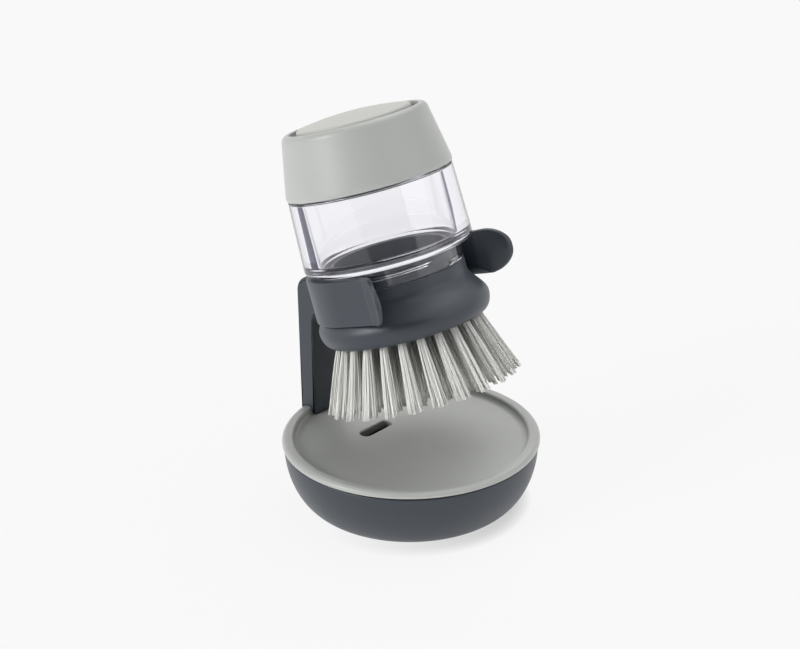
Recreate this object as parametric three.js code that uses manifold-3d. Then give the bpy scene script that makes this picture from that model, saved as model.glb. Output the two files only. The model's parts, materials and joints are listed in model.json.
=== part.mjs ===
// Soap-dispensing palm brush resting in its drip stand.
// Millimetres, +Z up. The stand's foot is centred on the origin and its post is toward -X.
// Brush pieces are drawn upright, with height 0 at the seam under the cap, then leaned into the clip.
import * as THREE from 'three';
import { mergeVertices } from 'three/addons/utils/BufferGeometryUtils.js';
import Module from 'manifold-3d';

const wasm = await Module();
wasm.setup();

// Fits
const slideGap = 0.4; // between pieces that slide or turn past each other
const seatGap = 0.3; // between pieces that rest on each other

// Bowl and pad
const dishDiameter = 105;
const bowlHeight = 27.2;
const bowlWall = 2.3;
const bowlFloor = 2.4;
const footRadius = 36;
const footRing = 1.6; // width of the foot around the pad
const padThickness = 1.8;
const padStandOut = 0.6;

// Tray
const rimHeight = 2.4; // above the bowl's edge
const rimWidth = 2.1; // from the outside in to the top of the round inner edge
const rimOverhang = 0.7; // of the tray past the bowl
const rimEdge = 1.5;
const rimCrest = 2.3; // reach of the round at the rim's inner edge
const rimCrestDrop = 1.2;
const rimFillet = 2; // reach of the round where the rim meets the floor
const floorDrop = 2; // middle of the floor, below the bowl's edge
const traySlope = 1.5;
const trayThickness = 2.2;
const skirtDepth = 3.8;
const skirtThickness = 1.8;
const slotLength = 17;
const slotWidth = 5;
const slotOffset = 19.4;

// Post and its screws
const postThickness = 8.1;
const postWidth = 20.2;
const postHeight = 59; // above the rim
const postRound = 6.5;
const postEdge = 1;
const bridgeInset = 1.5;
const underBridge = 6;
const screwRadius = 1.1;
const screwHeadRadius = 2;
const screwHeadHeight = 1.5;
const screwReach = 18;
const screwPoint = 2;
const screwSpacing = 10;
const screwInset = 2; // from the post's inner face
const bossMargin = 3.4;

// Clip
const clipStandOff = 11.2; // from the post's outer face to the back of the clip
const clipRise = 65.8; // of the clip's centre, above the rim
const clipBand = 18.3; // height of the band along the brush
const clipThickness = 5.5;
const armStep = 0.4; // how much the arms are thinner than the back
const armLength = 16; // straight part of each arm, past the clip's centre
const tipForward = 28.1;
const tipFlare = 6.2;
const tipThickness = 1.9;
const tipBend = 7;
const tipSkew = 0.5;

// Brush
const lean = 18.4; // degrees from upright, toward the post
const reservoirTopRadius = 33.3;
const reservoirTaper = 1; // how much wider the foot is
const reservoirHeight = 30.4;
const reservoirEdge = 0.5;
const shoulderRound = 4;
const reservoirWall = 5.3;
const cavityTop = 1; // thickness of the roof round the mouth
const cavityCone = 0.4;
const neckStep = 4.8; // from the reservoir's wall in to the neck
const neckLength = 7.1;
const neckWall = 1.9;
const mouthStep = 6.4; // from the reservoir's wall in to the mouth
const mouthWall = 2.9;
const mouthHeight = 8.5;

// Brush head
const flangeStep = 6.3; // from the neck out to the flange
const flangeRound = 3.9;
const headHeight = 22;
const headEdge = 0.4;
const neckStraight = 4.3;
const flareLength = 11.5;
const collarHeight = 9;
const collarWall = 2.8;
const sealLedge = 1;
const sealRoom = 2.2;
const sealThickness = 1.5;
const wellDepth = 3.7; // of the soap well's floor, below the head's top edge
const outletRadius = 5.2;
const valveLedge = 4.2;
const valveFlange = 1.4;
const valveWall = 1.3;
const valveDepth = 4;
const retainerWidth = 2.6;
const retainerThickness = 1.8;
const bristlePlate = 5;

// Threads
const threadPitch = 3;
const threadRadius = 0.8;
const threadTurns = 1;
const collarThreadStart = 2.7;
const mouthThreadStart = 3.2;

// Cap and button
const capOverhang = 0.3; // of the cap past the reservoir
const capTaper = 4;
const capHeight = 25.6;
const capWall = 2;
const capSeam = 0.4;
const capBead = 1.8; // height of the rounded bottom edge
const capCrown = 3; // height of the rounded top edge
const capCrownReach = 2.6;
const lipWidth = 3.5;
const lipEdge = 0.5;
const lipDepth = 5;
const gasketThickness = 1.1;
const linerWall = 1.2;
const deckThickness = 1.8;
const airHole = 1.7;
const airFlap = 4;
const buttonGap = 2.9; // between the button and the cap's lip
const buttonRise = 0.6; // of its edge above the cap's lip
const buttonCrown = 2.2;
const buttonEdge = 1.4;
const buttonFlange = 1.5;
const buttonCatch = 1.1; // how far the flange reaches under the lip
const buttonWall = 1.8;
const springRadius = 9;
const springWire = 0.55;
const springCurls = 5;
const bellowsRadius = 17;
const bellowsFold = 4;
const bellowsFolds = 3;
const bellowsWall = 1.8;

// Bristles
const bristleLength = 26.5;
const bristleFan = 0.34; // how much farther out the tips are than the roots, as a share
const plateLedge = 5.1; // from the flange in to the bristle plate
const tuftInset = 2.1; // from the plate's edge in to the outer row
const tuftPitch = 5.45; // from row to row
const tuftRadius = 1.25;
const tuftSpread = 2.3;
const strandRadius = 0.42;
const strandSides = 3;
const strandRoot = 1; // depth of each strand in the plate
const tuftCounts = [24, 18, 13, 8]; // from the outer row in
const strandCounts = [6, 5, 4, 4];
const slices = [
  { name: 'outer_bristles', rows: [0] },
  { name: 'middle_bristles', rows: [1] },
  { name: 'inner_bristles', rows: [2, 3] },
];

// Colours and surfaces
const darkPlastic = { color: 0x4b5056, roughness: 0.55, metalness: 0 };
const lightPlastic = { color: 0xb0b1ac, roughness: 0.6, metalness: 0 };
const buttonPlastic = { color: 0xcfcfc9, roughness: 0.55, metalness: 0 };
const clearPlastic = { color: 0xe9e8f2, roughness: 0.05, metalness: 0 };
const bristleNylon = { color: 0xd8d8d4, roughness: 0.5, metalness: 0 };
const softRubber = { color: 0x2c2e31, roughness: 0.8, metalness: 0 };
const silicone = { color: 0xdcdcd6, roughness: 0.6, metalness: 0 };
const steel = { color: 0xb8bcc0, roughness: 0.3, metalness: 1 };

// Sides of round pieces, and how far joined facets may be from flat
const largeSides = 48;
const roundSides = 36;
const smallSides = 24;
const screwSides = 16;
const flatness = 0.003;

// Worked out from the sizes above
const dishRadius = dishDiameter / 2;
const rimTop = bowlHeight + rimHeight;
const trayFloor = bowlHeight - floorDrop;
const postTop = rimTop + postHeight;
const reservoirFootRadius = reservoirTopRadius + reservoirTaper;
const cavityRadius = reservoirTopRadius - reservoirWall;
const neckRadius = reservoirTopRadius - neckStep;
const mouthRadius = reservoirTopRadius - mouthStep;
const flangeRadius = neckRadius + flangeStep;
const plateRadius = flangeRadius - plateLedge;
const capBottomRadius = reservoirTopRadius + capOverhang;
const capTopRadius = capBottomRadius - capTaper;
const lipRadius = capTopRadius - lipWidth;
const buttonRadius = lipRadius - buttonGap;
const bowlTopRadius = dishRadius - rimOverhang;
const postOuter = -dishRadius;
const postInner = postOuter + postThickness;
const headTop = -reservoirHeight - neckLength - seatGap;
const headBottom = headTop - headHeight;
const neckBore = neckRadius - neckWall;
const collarRadius = neckBore - slideGap - threadRadius;
const mouthBore = mouthRadius - mouthWall;
const linerBore = mouthRadius + slideGap + threadRadius;
const armInner = neckRadius + slideGap;
const clipOuter = armInner + clipThickness;
const armOuter = clipOuter - armStep;
const tipSpread = armOuter + tipFlare;
const clipTop = -reservoirHeight - 2 * seatGap;
const clipBottom = clipTop - clipBand;
const clipMiddle = (clipTop + clipBottom) / 2;
const leanAngle = THREE.MathUtils.degToRad(lean);
const axisX = -Math.sin(leanAngle);
const axisZ = Math.cos(leanAngle);
const seamX = postOuter + clipStandOff + clipOuter - axisX * clipMiddle;
const seamZ = rimTop + clipRise - axisZ * clipMiddle;

function point(x, y) {
  return new THREE.Vector2(x, y);
}

function arc(centreX, centreY, radiusX, radiusY, from, to, steps) {
  const points = [];
  for (let i = 0; i <= steps; i += 1) {
    const angle = THREE.MathUtils.degToRad(from + ((to - from) * i) / steps);
    points.push(point(centreX + radiusX * Math.cos(angle), centreY + radiusY * Math.sin(angle)));
  }
  return points;
}

function signedVolume(vertices, triangles) {
  const a = new THREE.Vector3();
  const b = new THREE.Vector3();
  const c = new THREE.Vector3();
  let total = 0;
  for (let i = 0; i < triangles.length; i += 3) {
    a.fromArray(vertices, 3 * triangles[i]);
    b.fromArray(vertices, 3 * triangles[i + 1]);
    c.fromArray(vertices, 3 * triangles[i + 2]);
    total += a.dot(b.cross(c));
  }
  return total;
}

function solidOf(geometry) {
  geometry.deleteAttribute('normal');
  geometry.deleteAttribute('uv');
  const merged = mergeVertices(geometry, 1e-4);
  const vertices = merged.attributes.position.array;
  const index = merged.index.array;
  const triangles = [];
  for (let i = 0; i < index.length; i += 3) {
    const corners = [index[i], index[i + 1], index[i + 2]];
    if (new Set(corners).size === 3) {
      triangles.push(...corners);
    }
  }
  if (signedVolume(vertices, triangles) < 0) {
    triangles.reverse();
  }
  const mesh = new wasm.Mesh({
    numProp: 3,
    vertProperties: new Float32Array(vertices),
    triVerts: new Uint32Array(triangles),
  });
  return new wasm.Manifold(mesh);
}

function geometryOf(solid) {
  const mesh = solid.asOriginal().simplify(flatness).getMesh();
  const geometry = new THREE.BufferGeometry();
  geometry.setAttribute('position', new THREE.BufferAttribute(new Float32Array(mesh.vertProperties), 3));
  geometry.setIndex(new THREE.BufferAttribute(new Uint32Array(mesh.triVerts), 1));
  geometry.computeVertexNormals();
  return geometry;
}

// A profile of radius and height, turned about the upright axis
function turnedGeometry(profile, sides) {
  const onAxis = profile[0].x === 0 && profile[profile.length - 1].x === 0;
  const points = onAxis ? profile : [...profile, profile[0].clone()];
  const geometry = new THREE.LatheGeometry(points, sides);
  geometry.rotateX(Math.PI / 2);
  return geometry;
}

function turned(profile, sides) {
  return solidOf(turnedGeometry(profile, sides));
}

function ring(inner, outer, bottom, top, sides) {
  return turned([point(inner, bottom), point(outer, bottom), point(outer, top), point(inner, top)], sides);
}

// An outline drawn in X and Z, with its width across Y
function acrossY(outline, width, edge) {
  const geometry = new THREE.ExtrudeGeometry(new THREE.Shape(outline), {
    depth: width - 2 * edge,
    bevelEnabled: edge > 0,
    bevelThickness: edge,
    bevelSize: edge,
    bevelOffset: -edge,
    bevelSegments: 2,
  });
  geometry.translate(0, 0, edge - width / 2);
  geometry.rotateX(Math.PI / 2);
  return geometry;
}

// An outline drawn in X and Y, raised along Z
function raised(outline, bottom, top) {
  const geometry = new THREE.ExtrudeGeometry(new THREE.Shape(outline), {
    depth: top - bottom,
    bevelEnabled: false,
  });
  geometry.translate(0, 0, bottom);
  return geometry;
}

// An outline drawn in Y and Z, drawn out along X
function alongX(outline, from, to) {
  const geometry = raised(outline, from, to);
  const turn = new THREE.Matrix4().makeBasis(
    new THREE.Vector3(0, 1, 0),
    new THREE.Vector3(0, 0, 1),
    new THREE.Vector3(1, 0, 0),
  );
  geometry.applyMatrix4(turn);
  return geometry;
}

function standing(radius, bottom, top, x, y, sides) {
  const geometry = new THREE.CylinderGeometry(radius, radius, top - bottom, sides);
  geometry.rotateX(Math.PI / 2);
  geometry.translate(x, y, (top + bottom) / 2);
  return solidOf(geometry);
}

class Helix extends THREE.Curve {
  constructor(radius, bottom, pitch, turns) {
    super();
    Object.assign(this, { radius, bottom, pitch, turns });
  }

  getPoint(t, target = new THREE.Vector3()) {
    const angle = 2 * Math.PI * this.turns * t;
    const height = this.bottom + this.pitch * this.turns * t;
    return target.set(this.radius * Math.cos(angle), this.radius * Math.sin(angle), height);
  }
}

function wireAlong(path, wireRadius, wireSides, steps) {
  const lastAngle = 360 - 360 / wireSides;
  const section = new THREE.Shape(arc(0, 0, wireRadius, wireRadius, 0, lastAngle, wireSides - 1));
  return solidOf(new THREE.ExtrudeGeometry(section, { steps, extrudePath: path, bevelEnabled: false }));
}

function threadRidge(radius, bottom) {
  const path = new Helix(radius, bottom, threadPitch, threadTurns);
  return wireAlong(path, threadRadius, 4, smallSides * threadTurns);
}

const stand = new THREE.Group();
stand.name = 'palm_brush_and_stand';
const brush = new THREE.Group();
brush.name = 'palm_brush';
brush.position.set(seamX, 0, seamZ);
brush.rotation.y = -leanAngle;
stand.add(brush);

function addPiece(group, name, solid, look) {
  const mesh = new THREE.Mesh(geometryOf(solid), new THREE.MeshStandardMaterial(look));
  mesh.name = name;
  group.add(mesh);
}

// Bowl: a quarter-ellipse wall on a flat foot, with a shallow recess for the pad
const recessRadius = footRadius - footRing;
const recessTop = padThickness + seatGap;
const bowlInside = recessTop + bowlFloor;
const bowlOut = bowlTopRadius - footRadius;
const bowlProfile = [
  point(0, recessTop),
  point(recessRadius, recessTop),
  point(recessRadius, padStandOut),
  ...arc(footRadius, bowlHeight, bowlOut, bowlHeight - padStandOut, -90, 0, 7),
  ...arc(footRadius, bowlHeight, bowlOut - bowlWall, bowlHeight - bowlInside, 0, -90, 5),
  point(0, bowlInside),
];
addPiece(stand, 'bowl', turned(bowlProfile, largeSides), darkPlastic);

const padRadius = recessRadius - seatGap;
const padProfile = [
  point(0, 0),
  point(padRadius - padStandOut, 0),
  point(padRadius, padStandOut),
  point(padRadius, padThickness),
  point(0, padThickness),
];
addPiece(stand, 'non_slip_pad', turned(padProfile, roundSides), softRubber);

// Tray: dished floor, rounded rim that caps the bowl, skirt that plugs into it
const skirtOuter = bowlTopRadius - bowlWall - slideGap;
const skirtInner = skirtOuter - skirtThickness;
const rimInner = dishRadius - rimWidth;
const rimUnder = bowlHeight + seatGap;
const crestBottom = rimTop - rimCrestDrop;
const floorEdge = rimInner - rimCrest - rimFillet;
const floorRim = trayFloor + traySlope;
const trayDish = [
  point(0, trayFloor),
  point(floorEdge / 2, trayFloor + traySlope / 4),
  point(floorEdge, floorRim),
  ...arc(floorEdge, crestBottom, rimFillet, crestBottom - floorRim, -70, 0, 3),
  ...arc(rimInner, crestBottom, rimCrest, rimCrestDrop, 150, 90, 2),
];
const skirtBottom = rimUnder - skirtDepth;
const trayProfile = [
  ...trayDish,
  ...arc(dishRadius - rimEdge, rimTop - rimEdge, rimEdge, rimEdge, 90, 0, 2),
  point(dishRadius, rimUnder),
  point(skirtOuter, rimUnder),
  point(skirtOuter, skirtBottom),
  point(skirtInner, skirtBottom),
  point(skirtInner, floorRim - skirtThickness),
  point(floorEdge / 2, trayFloor + traySlope / 4 - trayThickness),
  point(0, trayFloor - trayThickness),
];
const slotEnd = (slotLength - slotWidth) / 2;
const slotOutline = [
  ...arc(-slotOffset, slotEnd, slotWidth / 2, slotWidth / 2, 0, 180, 6),
  ...arc(-slotOffset, -slotEnd, slotWidth / 2, slotWidth / 2, 180, 360, 6),
];
const screwX = postInner - screwInset;
const screwPlaces = [
  { name: 'post_screw_near', y: -screwSpacing / 2 },
  { name: 'post_screw_far', y: screwSpacing / 2 },
];
const screwHole = screwRadius + seatGap;
const bossOuter = -skirtInner - skirtThickness / 3;
const bossInner = screwX + bossMargin;
const bossTop = floorRim - trayThickness / 2;
const bossOutline = [
  point(bossOuter, skirtBottom),
  point(bossInner, skirtBottom),
  point(bossInner, bossTop),
  point(bossOuter, bossTop),
];
let tray = turned(trayProfile, largeSides);
tray = tray.add(solidOf(acrossY(bossOutline, screwSpacing + 2 * bossMargin, 0)));
tray = tray.subtract(solidOf(raised(slotOutline, 0, rimTop)));
for (const place of screwPlaces) {
  tray = tray.subtract(standing(screwHole, 0, 2 * rimTop, screwX, place.y, screwSides));
}
addPiece(stand, 'tray', tray, lightPlastic);

// Screws up through the tray into the post
const screwHeadTop = skirtBottom - seatGap;
const screwHeadBottom = screwHeadTop - screwHeadHeight;
const screwTip = screwHeadTop + screwReach;
const screwProfile = [
  point(0, screwHeadBottom),
  point(screwHeadRadius * 0.8, screwHeadBottom),
  point(screwHeadRadius, screwHeadTop - screwHeadHeight * 0.6),
  point(screwHeadRadius, screwHeadTop),
  point(screwRadius, screwHeadTop),
  point(screwRadius, screwTip - screwPoint),
  point(0, screwTip),
];
const screwSocket = standing(screwHeadRadius / 2, 0, screwHeadTop - screwHeadHeight / 3, 0, 0, 6);
for (const place of screwPlaces) {
  const screw = turned(screwProfile, screwSides).subtract(screwSocket);
  addPiece(stand, place.name, screw.translate([screwX, place.y, 0]), steel);
}

// Outside of the brush head, from its top edge down: straight neck, smooth flare, rounded flange
const flareTop = headTop - neckStraight;
const flareBottom = flareTop - flareLength;
function headRadiusAt(height) {
  const t = THREE.MathUtils.smoothstep(-height, -flareTop, -flareBottom);
  return neckRadius + (flangeRadius - neckRadius) * t;
}
const flareSteps = 5;
const flareHeights = [];
for (let i = 0; i <= flareSteps; i += 1) {
  flareHeights.push(flareTop - (flareLength * i) / flareSteps);
}
const headOutside = [
  point(neckRadius - headEdge, headTop),
  point(neckRadius, headTop - headEdge),
  ...flareHeights.map((height) => point(headRadiusAt(height), height)),
  ...arc(flangeRadius - flangeRound, flareBottom, flangeRound, flareBottom - headBottom, -18, -90, 4),
];

// Clip and post in one piece, less the room that the brush needs on its way out
const clearTop = clipTop + clipBand;
const clearHeights = [clearTop, ...flareHeights, headBottom];
const clearSide = clearHeights.map((height) => point(headRadiusAt(height) + slideGap, height));
const clearTurned = [point(0, clearTop), ...clearSide, point(0, headBottom)];
const clearAcross = [...clearSide, ...clearSide.map((p) => point(-p.x, p.y)).reverse()];
const tipOutside = new THREE.QuadraticBezierCurve(
  point(armLength, armOuter),
  point(tipForward - tipBend, armOuter - armStep),
  point(tipForward, tipSpread),
).getPoints(6);
const tipInside = tipOutside.slice(1).map((p) => point(p.x + tipSkew, p.y - tipThickness)).reverse();
const farArm = [
  ...arc(0, 0, clipOuter, clipOuter, 180, 90, 12),
  ...tipOutside,
  ...tipInside,
  point(armLength, armInner),
];
const nearArm = farArm.slice(1).map((p) => point(p.x, -p.y)).reverse();
const clipOutline = [...farArm, point(0, 0), ...nearArm];
const tipRound = clipBand / 2;
const clipSide = [
  point(-2 * clipOuter, clipBottom),
  ...arc(tipForward + tipSkew - tipRound, clipMiddle, tipRound, tipRound, -90, 90, 10),
  point(-2 * clipOuter, clipTop),
];
const intoClip = new THREE.Matrix4().makeRotationY(-leanAngle).setPosition(seamX, 0, seamZ);
function leaned(geometry) {
  geometry.applyMatrix4(intoClip);
  return solidOf(geometry);
}
// A place in X and Z on the post's side of the brush, at a radius and a height along the brush
function behindBrush(radius, height) {
  return point(seamX + axisX * height - axisZ * radius, seamZ + axisZ * height + axisX * radius);
}
const bridgeTop = behindBrush((armInner + clipOuter) / 2, clipTop - bridgeInset);
const bridgeBottom = behindBrush(clipOuter - bridgeInset, clipBottom + bridgeInset / 2);
const postOutline = [
  point(postInner, trayFloor),
  point(postInner, bridgeBottom.y - underBridge),
  bridgeBottom,
  bridgeTop,
  ...arc(postOuter + postRound, postTop - postRound, postRound, postRound, 75, 180, 6),
  point(postOuter, trayFloor),
];
const underPost = [
  point(0, 0),
  ...trayDish.map((p) => point(Math.max(0, p.x - seatGap), p.y + seatGap)),
  point(2 * dishRadius, rimTop + seatGap),
  point(2 * dishRadius, 0),
  point(0, 0),
];
let holder = leaned(raised(clipOutline, clipBottom, clipTop));
holder = holder.intersect(leaned(acrossY(clipSide, 4 * clipOuter, 0)));
holder = holder.add(solidOf(acrossY(postOutline, postWidth, postEdge)));
holder = holder.subtract(leaned(turnedGeometry(clearTurned, roundSides)));
holder = holder.subtract(leaned(alongX(clearAcross, 0, 2 * clipOuter)));
holder = holder.subtract(turned(underPost, largeSides));
for (const place of screwPlaces) {
  holder = holder.subtract(standing(screwHole, 0, screwTip + seatGap, screwX, place.y, screwSides));
}
addPiece(stand, 'post_with_clip', holder, darkPlastic);

// Brush head: threaded collar, soap well with the valve seat, recess for the bristle plate
const collarTop = headTop + collarHeight;
const collarStep = collarTop - sealRoom;
const collarBore = collarRadius - collarWall;
const sealBore = collarRadius - sealLedge;
const wellFloor = headTop - wellDepth;
const valveRadius = outletRadius + valveLedge;
const valveSeat = wellFloor - valveFlange - seatGap;
const recessEdge = plateRadius + seatGap;
const plateTop = headBottom + bristlePlate;
const headProfile = [
  point(outletRadius, plateTop),
  point(outletRadius, valveSeat),
  point(valveRadius + seatGap, valveSeat),
  point(valveRadius + seatGap, wellFloor),
  point(collarBore, wellFloor),
  point(collarBore, collarTop),
  point(sealBore, collarTop),
  point(sealBore, collarStep),
  point(collarRadius, collarStep),
  point(collarRadius, headTop),
  ...headOutside,
  point(recessEdge, headBottom),
  point(recessEdge, plateTop),
];
const collarThread = headTop + collarThreadStart;
const head = turned(headProfile, roundSides).add(threadRidge(collarRadius, collarThread));
addPiece(brush, 'brush_head', head, darkPlastic);

const valveTop = wellFloor - seatGap / 2;
const valveBottom = valveTop - valveFlange;
const valveTip = valveBottom - valveDepth;
const valveOutside = outletRadius - seatGap;
const valveBore = valveOutside - valveWall;
const valveProfile = [
  point(0, valveTip),
  point(valveBore, valveTip + valveWall / 2),
  point(valveOutside, valveBottom - valveDepth / 2),
  point(valveOutside, valveBottom),
  point(valveRadius, valveBottom),
  point(valveRadius, valveTop),
  point(valveBore, valveTop),
  point(valveBore, valveBottom - valveDepth / 2),
  point(0, valveTip + valveWall),
];
addPiece(brush, 'soap_valve', turned(valveProfile, smallSides), silicone);

const retainerBottom = wellFloor + seatGap;
const retainerTop = retainerBottom + retainerThickness;
const retainer = ring(outletRadius, valveRadius + retainerWidth, retainerBottom, retainerTop, smallSides);
addPiece(brush, 'valve_retainer', retainer, darkPlastic);

const sealBottom = collarStep + seatGap;
const sealTop = sealBottom + sealThickness;
const neckSeal = ring(sealBore + seatGap, neckBore - seatGap, sealBottom, sealTop, roundSides);
addPiece(brush, 'neck_seal', neckSeal, softRubber);

// Bristles: tufts of strands that fan out of three ring slices of the bristle plate
const upright = new THREE.Vector3(0, 1, 0);
function strandBetween(root, tip) {
  const along = tip.clone().sub(root);
  const geometry = new THREE.CylinderGeometry(strandRadius, strandRadius, along.length(), strandSides);
  const middle = root.clone().add(tip).multiplyScalar(0.5);
  geometry.applyQuaternion(new THREE.Quaternion().setFromUnitVectors(upright, along.normalize()));
  geometry.translate(middle.x, middle.y, middle.z);
  return solidOf(geometry);
}
function rowRadius(row) {
  return plateRadius - tuftInset - row * tuftPitch;
}
function tuftStrands(row, angle) {
  const strands = [];
  const out = new THREE.Vector3(Math.cos(angle), Math.sin(angle), 0);
  const side = new THREE.Vector3(-Math.sin(angle), Math.cos(angle), 0);
  const rootRadius = rowRadius(row);
  const tipRadius = rootRadius * (1 + bristleFan);
  const onRim = strandCounts[row] - 1;
  for (let i = 0; i <= onRim; i += 1) {
    const turn = (2 * Math.PI * i) / onRim;
    const reach = i < onRim ? 1 : 0;
    const u = reach * Math.cos(turn);
    const v = reach * Math.sin(turn);
    const root = new THREE.Vector3(0, 0, headBottom + strandRoot);
    root.addScaledVector(out, rootRadius + u * tuftRadius).addScaledVector(side, v * tuftRadius);
    const tip = new THREE.Vector3(0, 0, headBottom - bristleLength);
    tip.addScaledVector(out, tipRadius + u * tuftSpread).addScaledVector(side, v * tuftSpread);
    strands.push(strandBetween(root, tip));
  }
  return strands;
}
for (const slice of slices) {
  const firstRow = slice.rows[0];
  const lastRow = slice.rows[slice.rows.length - 1];
  const edge = (tuftPitch - seatGap) / 2;
  const outer = firstRow === 0 ? plateRadius : rowRadius(firstRow) + edge;
  const parts = [ring(rowRadius(lastRow) - edge, outer, headBottom, plateTop - seatGap, smallSides)];
  for (const row of slice.rows) {
    for (let i = 0; i < tuftCounts[row]; i += 1) {
      parts.push(...tuftStrands(row, (2 * Math.PI * (i + 0.5)) / tuftCounts[row]));
    }
  }
  addPiece(brush, slice.name, wasm.Manifold.union(parts), bristleNylon);
}

// Reservoir: thick clear wall, a threaded neck below and a threaded mouth above
const neckBottom = -reservoirHeight - neckLength;
const cavityBottom = shoulderRound - reservoirHeight;
const shoulderX = reservoirFootRadius - shoulderRound;
const reservoirProfile = [
  point(neckRadius, neckBottom),
  point(neckRadius, -reservoirHeight),
  ...arc(shoulderX, cavityBottom, shoulderRound, shoulderRound, -90, 0, 5),
  point(reservoirTopRadius, -reservoirEdge),
  point(reservoirTopRadius - reservoirEdge, 0),
  point(mouthRadius, 0),
  point(mouthRadius, mouthHeight),
  point(mouthBore, mouthHeight),
  point(mouthBore, -cavityTop),
  point(cavityRadius, -cavityTop - cavityCone),
  point(cavityRadius, cavityBottom),
  point(neckBore, cavityBottom - cavityRadius + neckBore),
  point(neckBore, neckBottom),
];
const neckThread = threadRidge(neckBore, collarThread - threadPitch / 2);
const mouthThread = threadRidge(mouthRadius, mouthThreadStart);
const reservoir = turned(reservoirProfile, roundSides).add(mouthThread).add(neckThread);
addPiece(brush, 'reservoir', reservoir, clearPlastic);

// Cap: gasket, threaded liner with a deck, outer shell
const gasketBottom = mouthHeight + seatGap;
const gasketTop = gasketBottom + gasketThickness;
addPiece(brush, 'cap_gasket', ring(mouthBore, mouthRadius, gasketBottom, gasketTop, roundSides), softRubber);

const deckBottom = gasketTop + seatGap;
const deckTop = deckBottom + deckThickness;
const linerOuter = linerBore + linerWall;
const linerBottom = 2 * capSeam;
const linerProfile = [
  point(airHole, deckBottom),
  point(linerBore, deckBottom),
  point(linerBore, linerBottom),
  point(linerOuter, linerBottom),
  point(linerOuter, deckTop),
  point(airHole, deckTop),
];
const linerThread = threadRidge(linerBore, mouthThreadStart - threadPitch / 2);
addPiece(brush, 'cap_liner', turned(linerProfile, roundSides).add(linerThread), lightPlastic);

const beadTop = capSeam + capBead;
const lipBottom = capHeight - lipDepth;
const capProfile = [
  point(capBottomRadius - capWall, capSeam),
  point(capBottomRadius - capSeam, capSeam),
  point(capBottomRadius, capSeam + capBead / 2),
  point(capBottomRadius, beadTop),
  ...arc(capTopRadius - capCrownReach, capHeight - capCrown, capCrownReach, capCrown, 8, 90, 6),
  ...arc(lipRadius + lipEdge, capHeight - lipEdge, lipEdge, lipEdge, 90, 180, 2),
  point(lipRadius, lipBottom),
  point(capTopRadius - capWall + lipEdge, lipBottom),
  point(capBottomRadius - capWall, beadTop),
];
addPiece(brush, 'cap_shell', turned(capProfile, roundSides), lightPlastic);

// Button, with a flange that the lip holds down
const buttonTop = capHeight + buttonRise;
const buttonInside = buttonTop - buttonWall;
const buttonBore = buttonRadius - buttonWall;
const flangeTop = lipBottom - seatGap;
const flangeBottom = flangeTop - buttonFlange;
const catchRadius = lipRadius + buttonCatch;
const buttonProfile = [
  point(0, buttonInside + buttonCrown / 2),
  point(bellowsRadius + buttonEdge, buttonInside),
  point(buttonBore, buttonInside - buttonEdge),
  point(buttonBore, flangeBottom),
  point(catchRadius, flangeBottom),
  point(catchRadius, flangeTop),
  point(buttonRadius, flangeTop),
  ...arc(buttonRadius - buttonEdge, buttonTop - buttonEdge, buttonEdge, buttonEdge, 0, 80, 3),
  point((buttonRadius * 2) / 3, buttonTop + (buttonCrown * 5) / 9),
  point(buttonRadius / 3, buttonTop + (buttonCrown * 8) / 9),
  point(0, buttonTop + buttonCrown),
];
addPiece(brush, 'button', turned(buttonProfile, roundSides), buttonPlastic);

// Spring and bellows between the deck and the button
const springBottom = deckTop + seatGap + springWire;
const springTop = buttonInside - seatGap - springWire;
const springPitch = (springTop - springBottom) / springCurls;
const springPath = new Helix(springRadius, springBottom, springPitch, springCurls);
addPiece(brush, 'button_spring', wireAlong(springPath, springWire, 5, 8 * springCurls), steel);

// Least gap of the spring to itself, over points half a curl or more apart
function leastGap(path, wireRadius, curls) {
  const steps = 24;
  const points = path.getPoints(steps * curls);
  let least = Infinity;
  for (let i = 0; i < points.length; i += 1) {
    for (let j = i + steps / 2; j < points.length; j += 1) {
      least = Math.min(least, points[i].distanceTo(points[j]));
    }
  }
  return least - 2 * wireRadius;
}
const springGap = leastGap(springPath, springWire, springCurls);
console.log('button spring least gap to itself', springGap.toFixed(2), 'mm');

const bellowsBottom = deckTop + seatGap;
const bellowsHeight = buttonInside - seatGap - bellowsBottom;
const bellowsOutside = [];
for (let i = 0; i <= 2 * bellowsFolds; i += 1) {
  const radius = i % 2 === 0 ? bellowsRadius : bellowsRadius - bellowsFold;
  bellowsOutside.push(point(radius, bellowsBottom + (bellowsHeight * i) / (2 * bellowsFolds)));
}
const bellowsInside = bellowsOutside.map((p) => point(p.x - bellowsWall, p.y)).reverse();
addPiece(brush, 'pump_bellows', turned([...bellowsOutside, ...bellowsInside], smallSides), silicone);

// Air valve: a flap under the deck, on a stem with a barb above it
const airStem = airHole - seatGap;
const barbBottom = deckTop + seatGap;
const barbTop = barbBottom + airHole;
const airValveProfile = [
  point(0, deckBottom - 4 * seatGap),
  point(airFlap, deckBottom - 2 * seatGap),
  point(airFlap, deckBottom - seatGap),
  point(airStem, deckBottom - seatGap),
  point(airStem, barbBottom),
  point(airHole + seatGap, barbBottom),
  point(airStem, barbTop),
  point(0, barbTop),
];
addPiece(brush, 'air_valve', turned(airValveProfile, smallSides), silicone);

export default stand;
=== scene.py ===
import json
import math

import bpy
import numpy as np
from mathutils import Matrix


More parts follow.
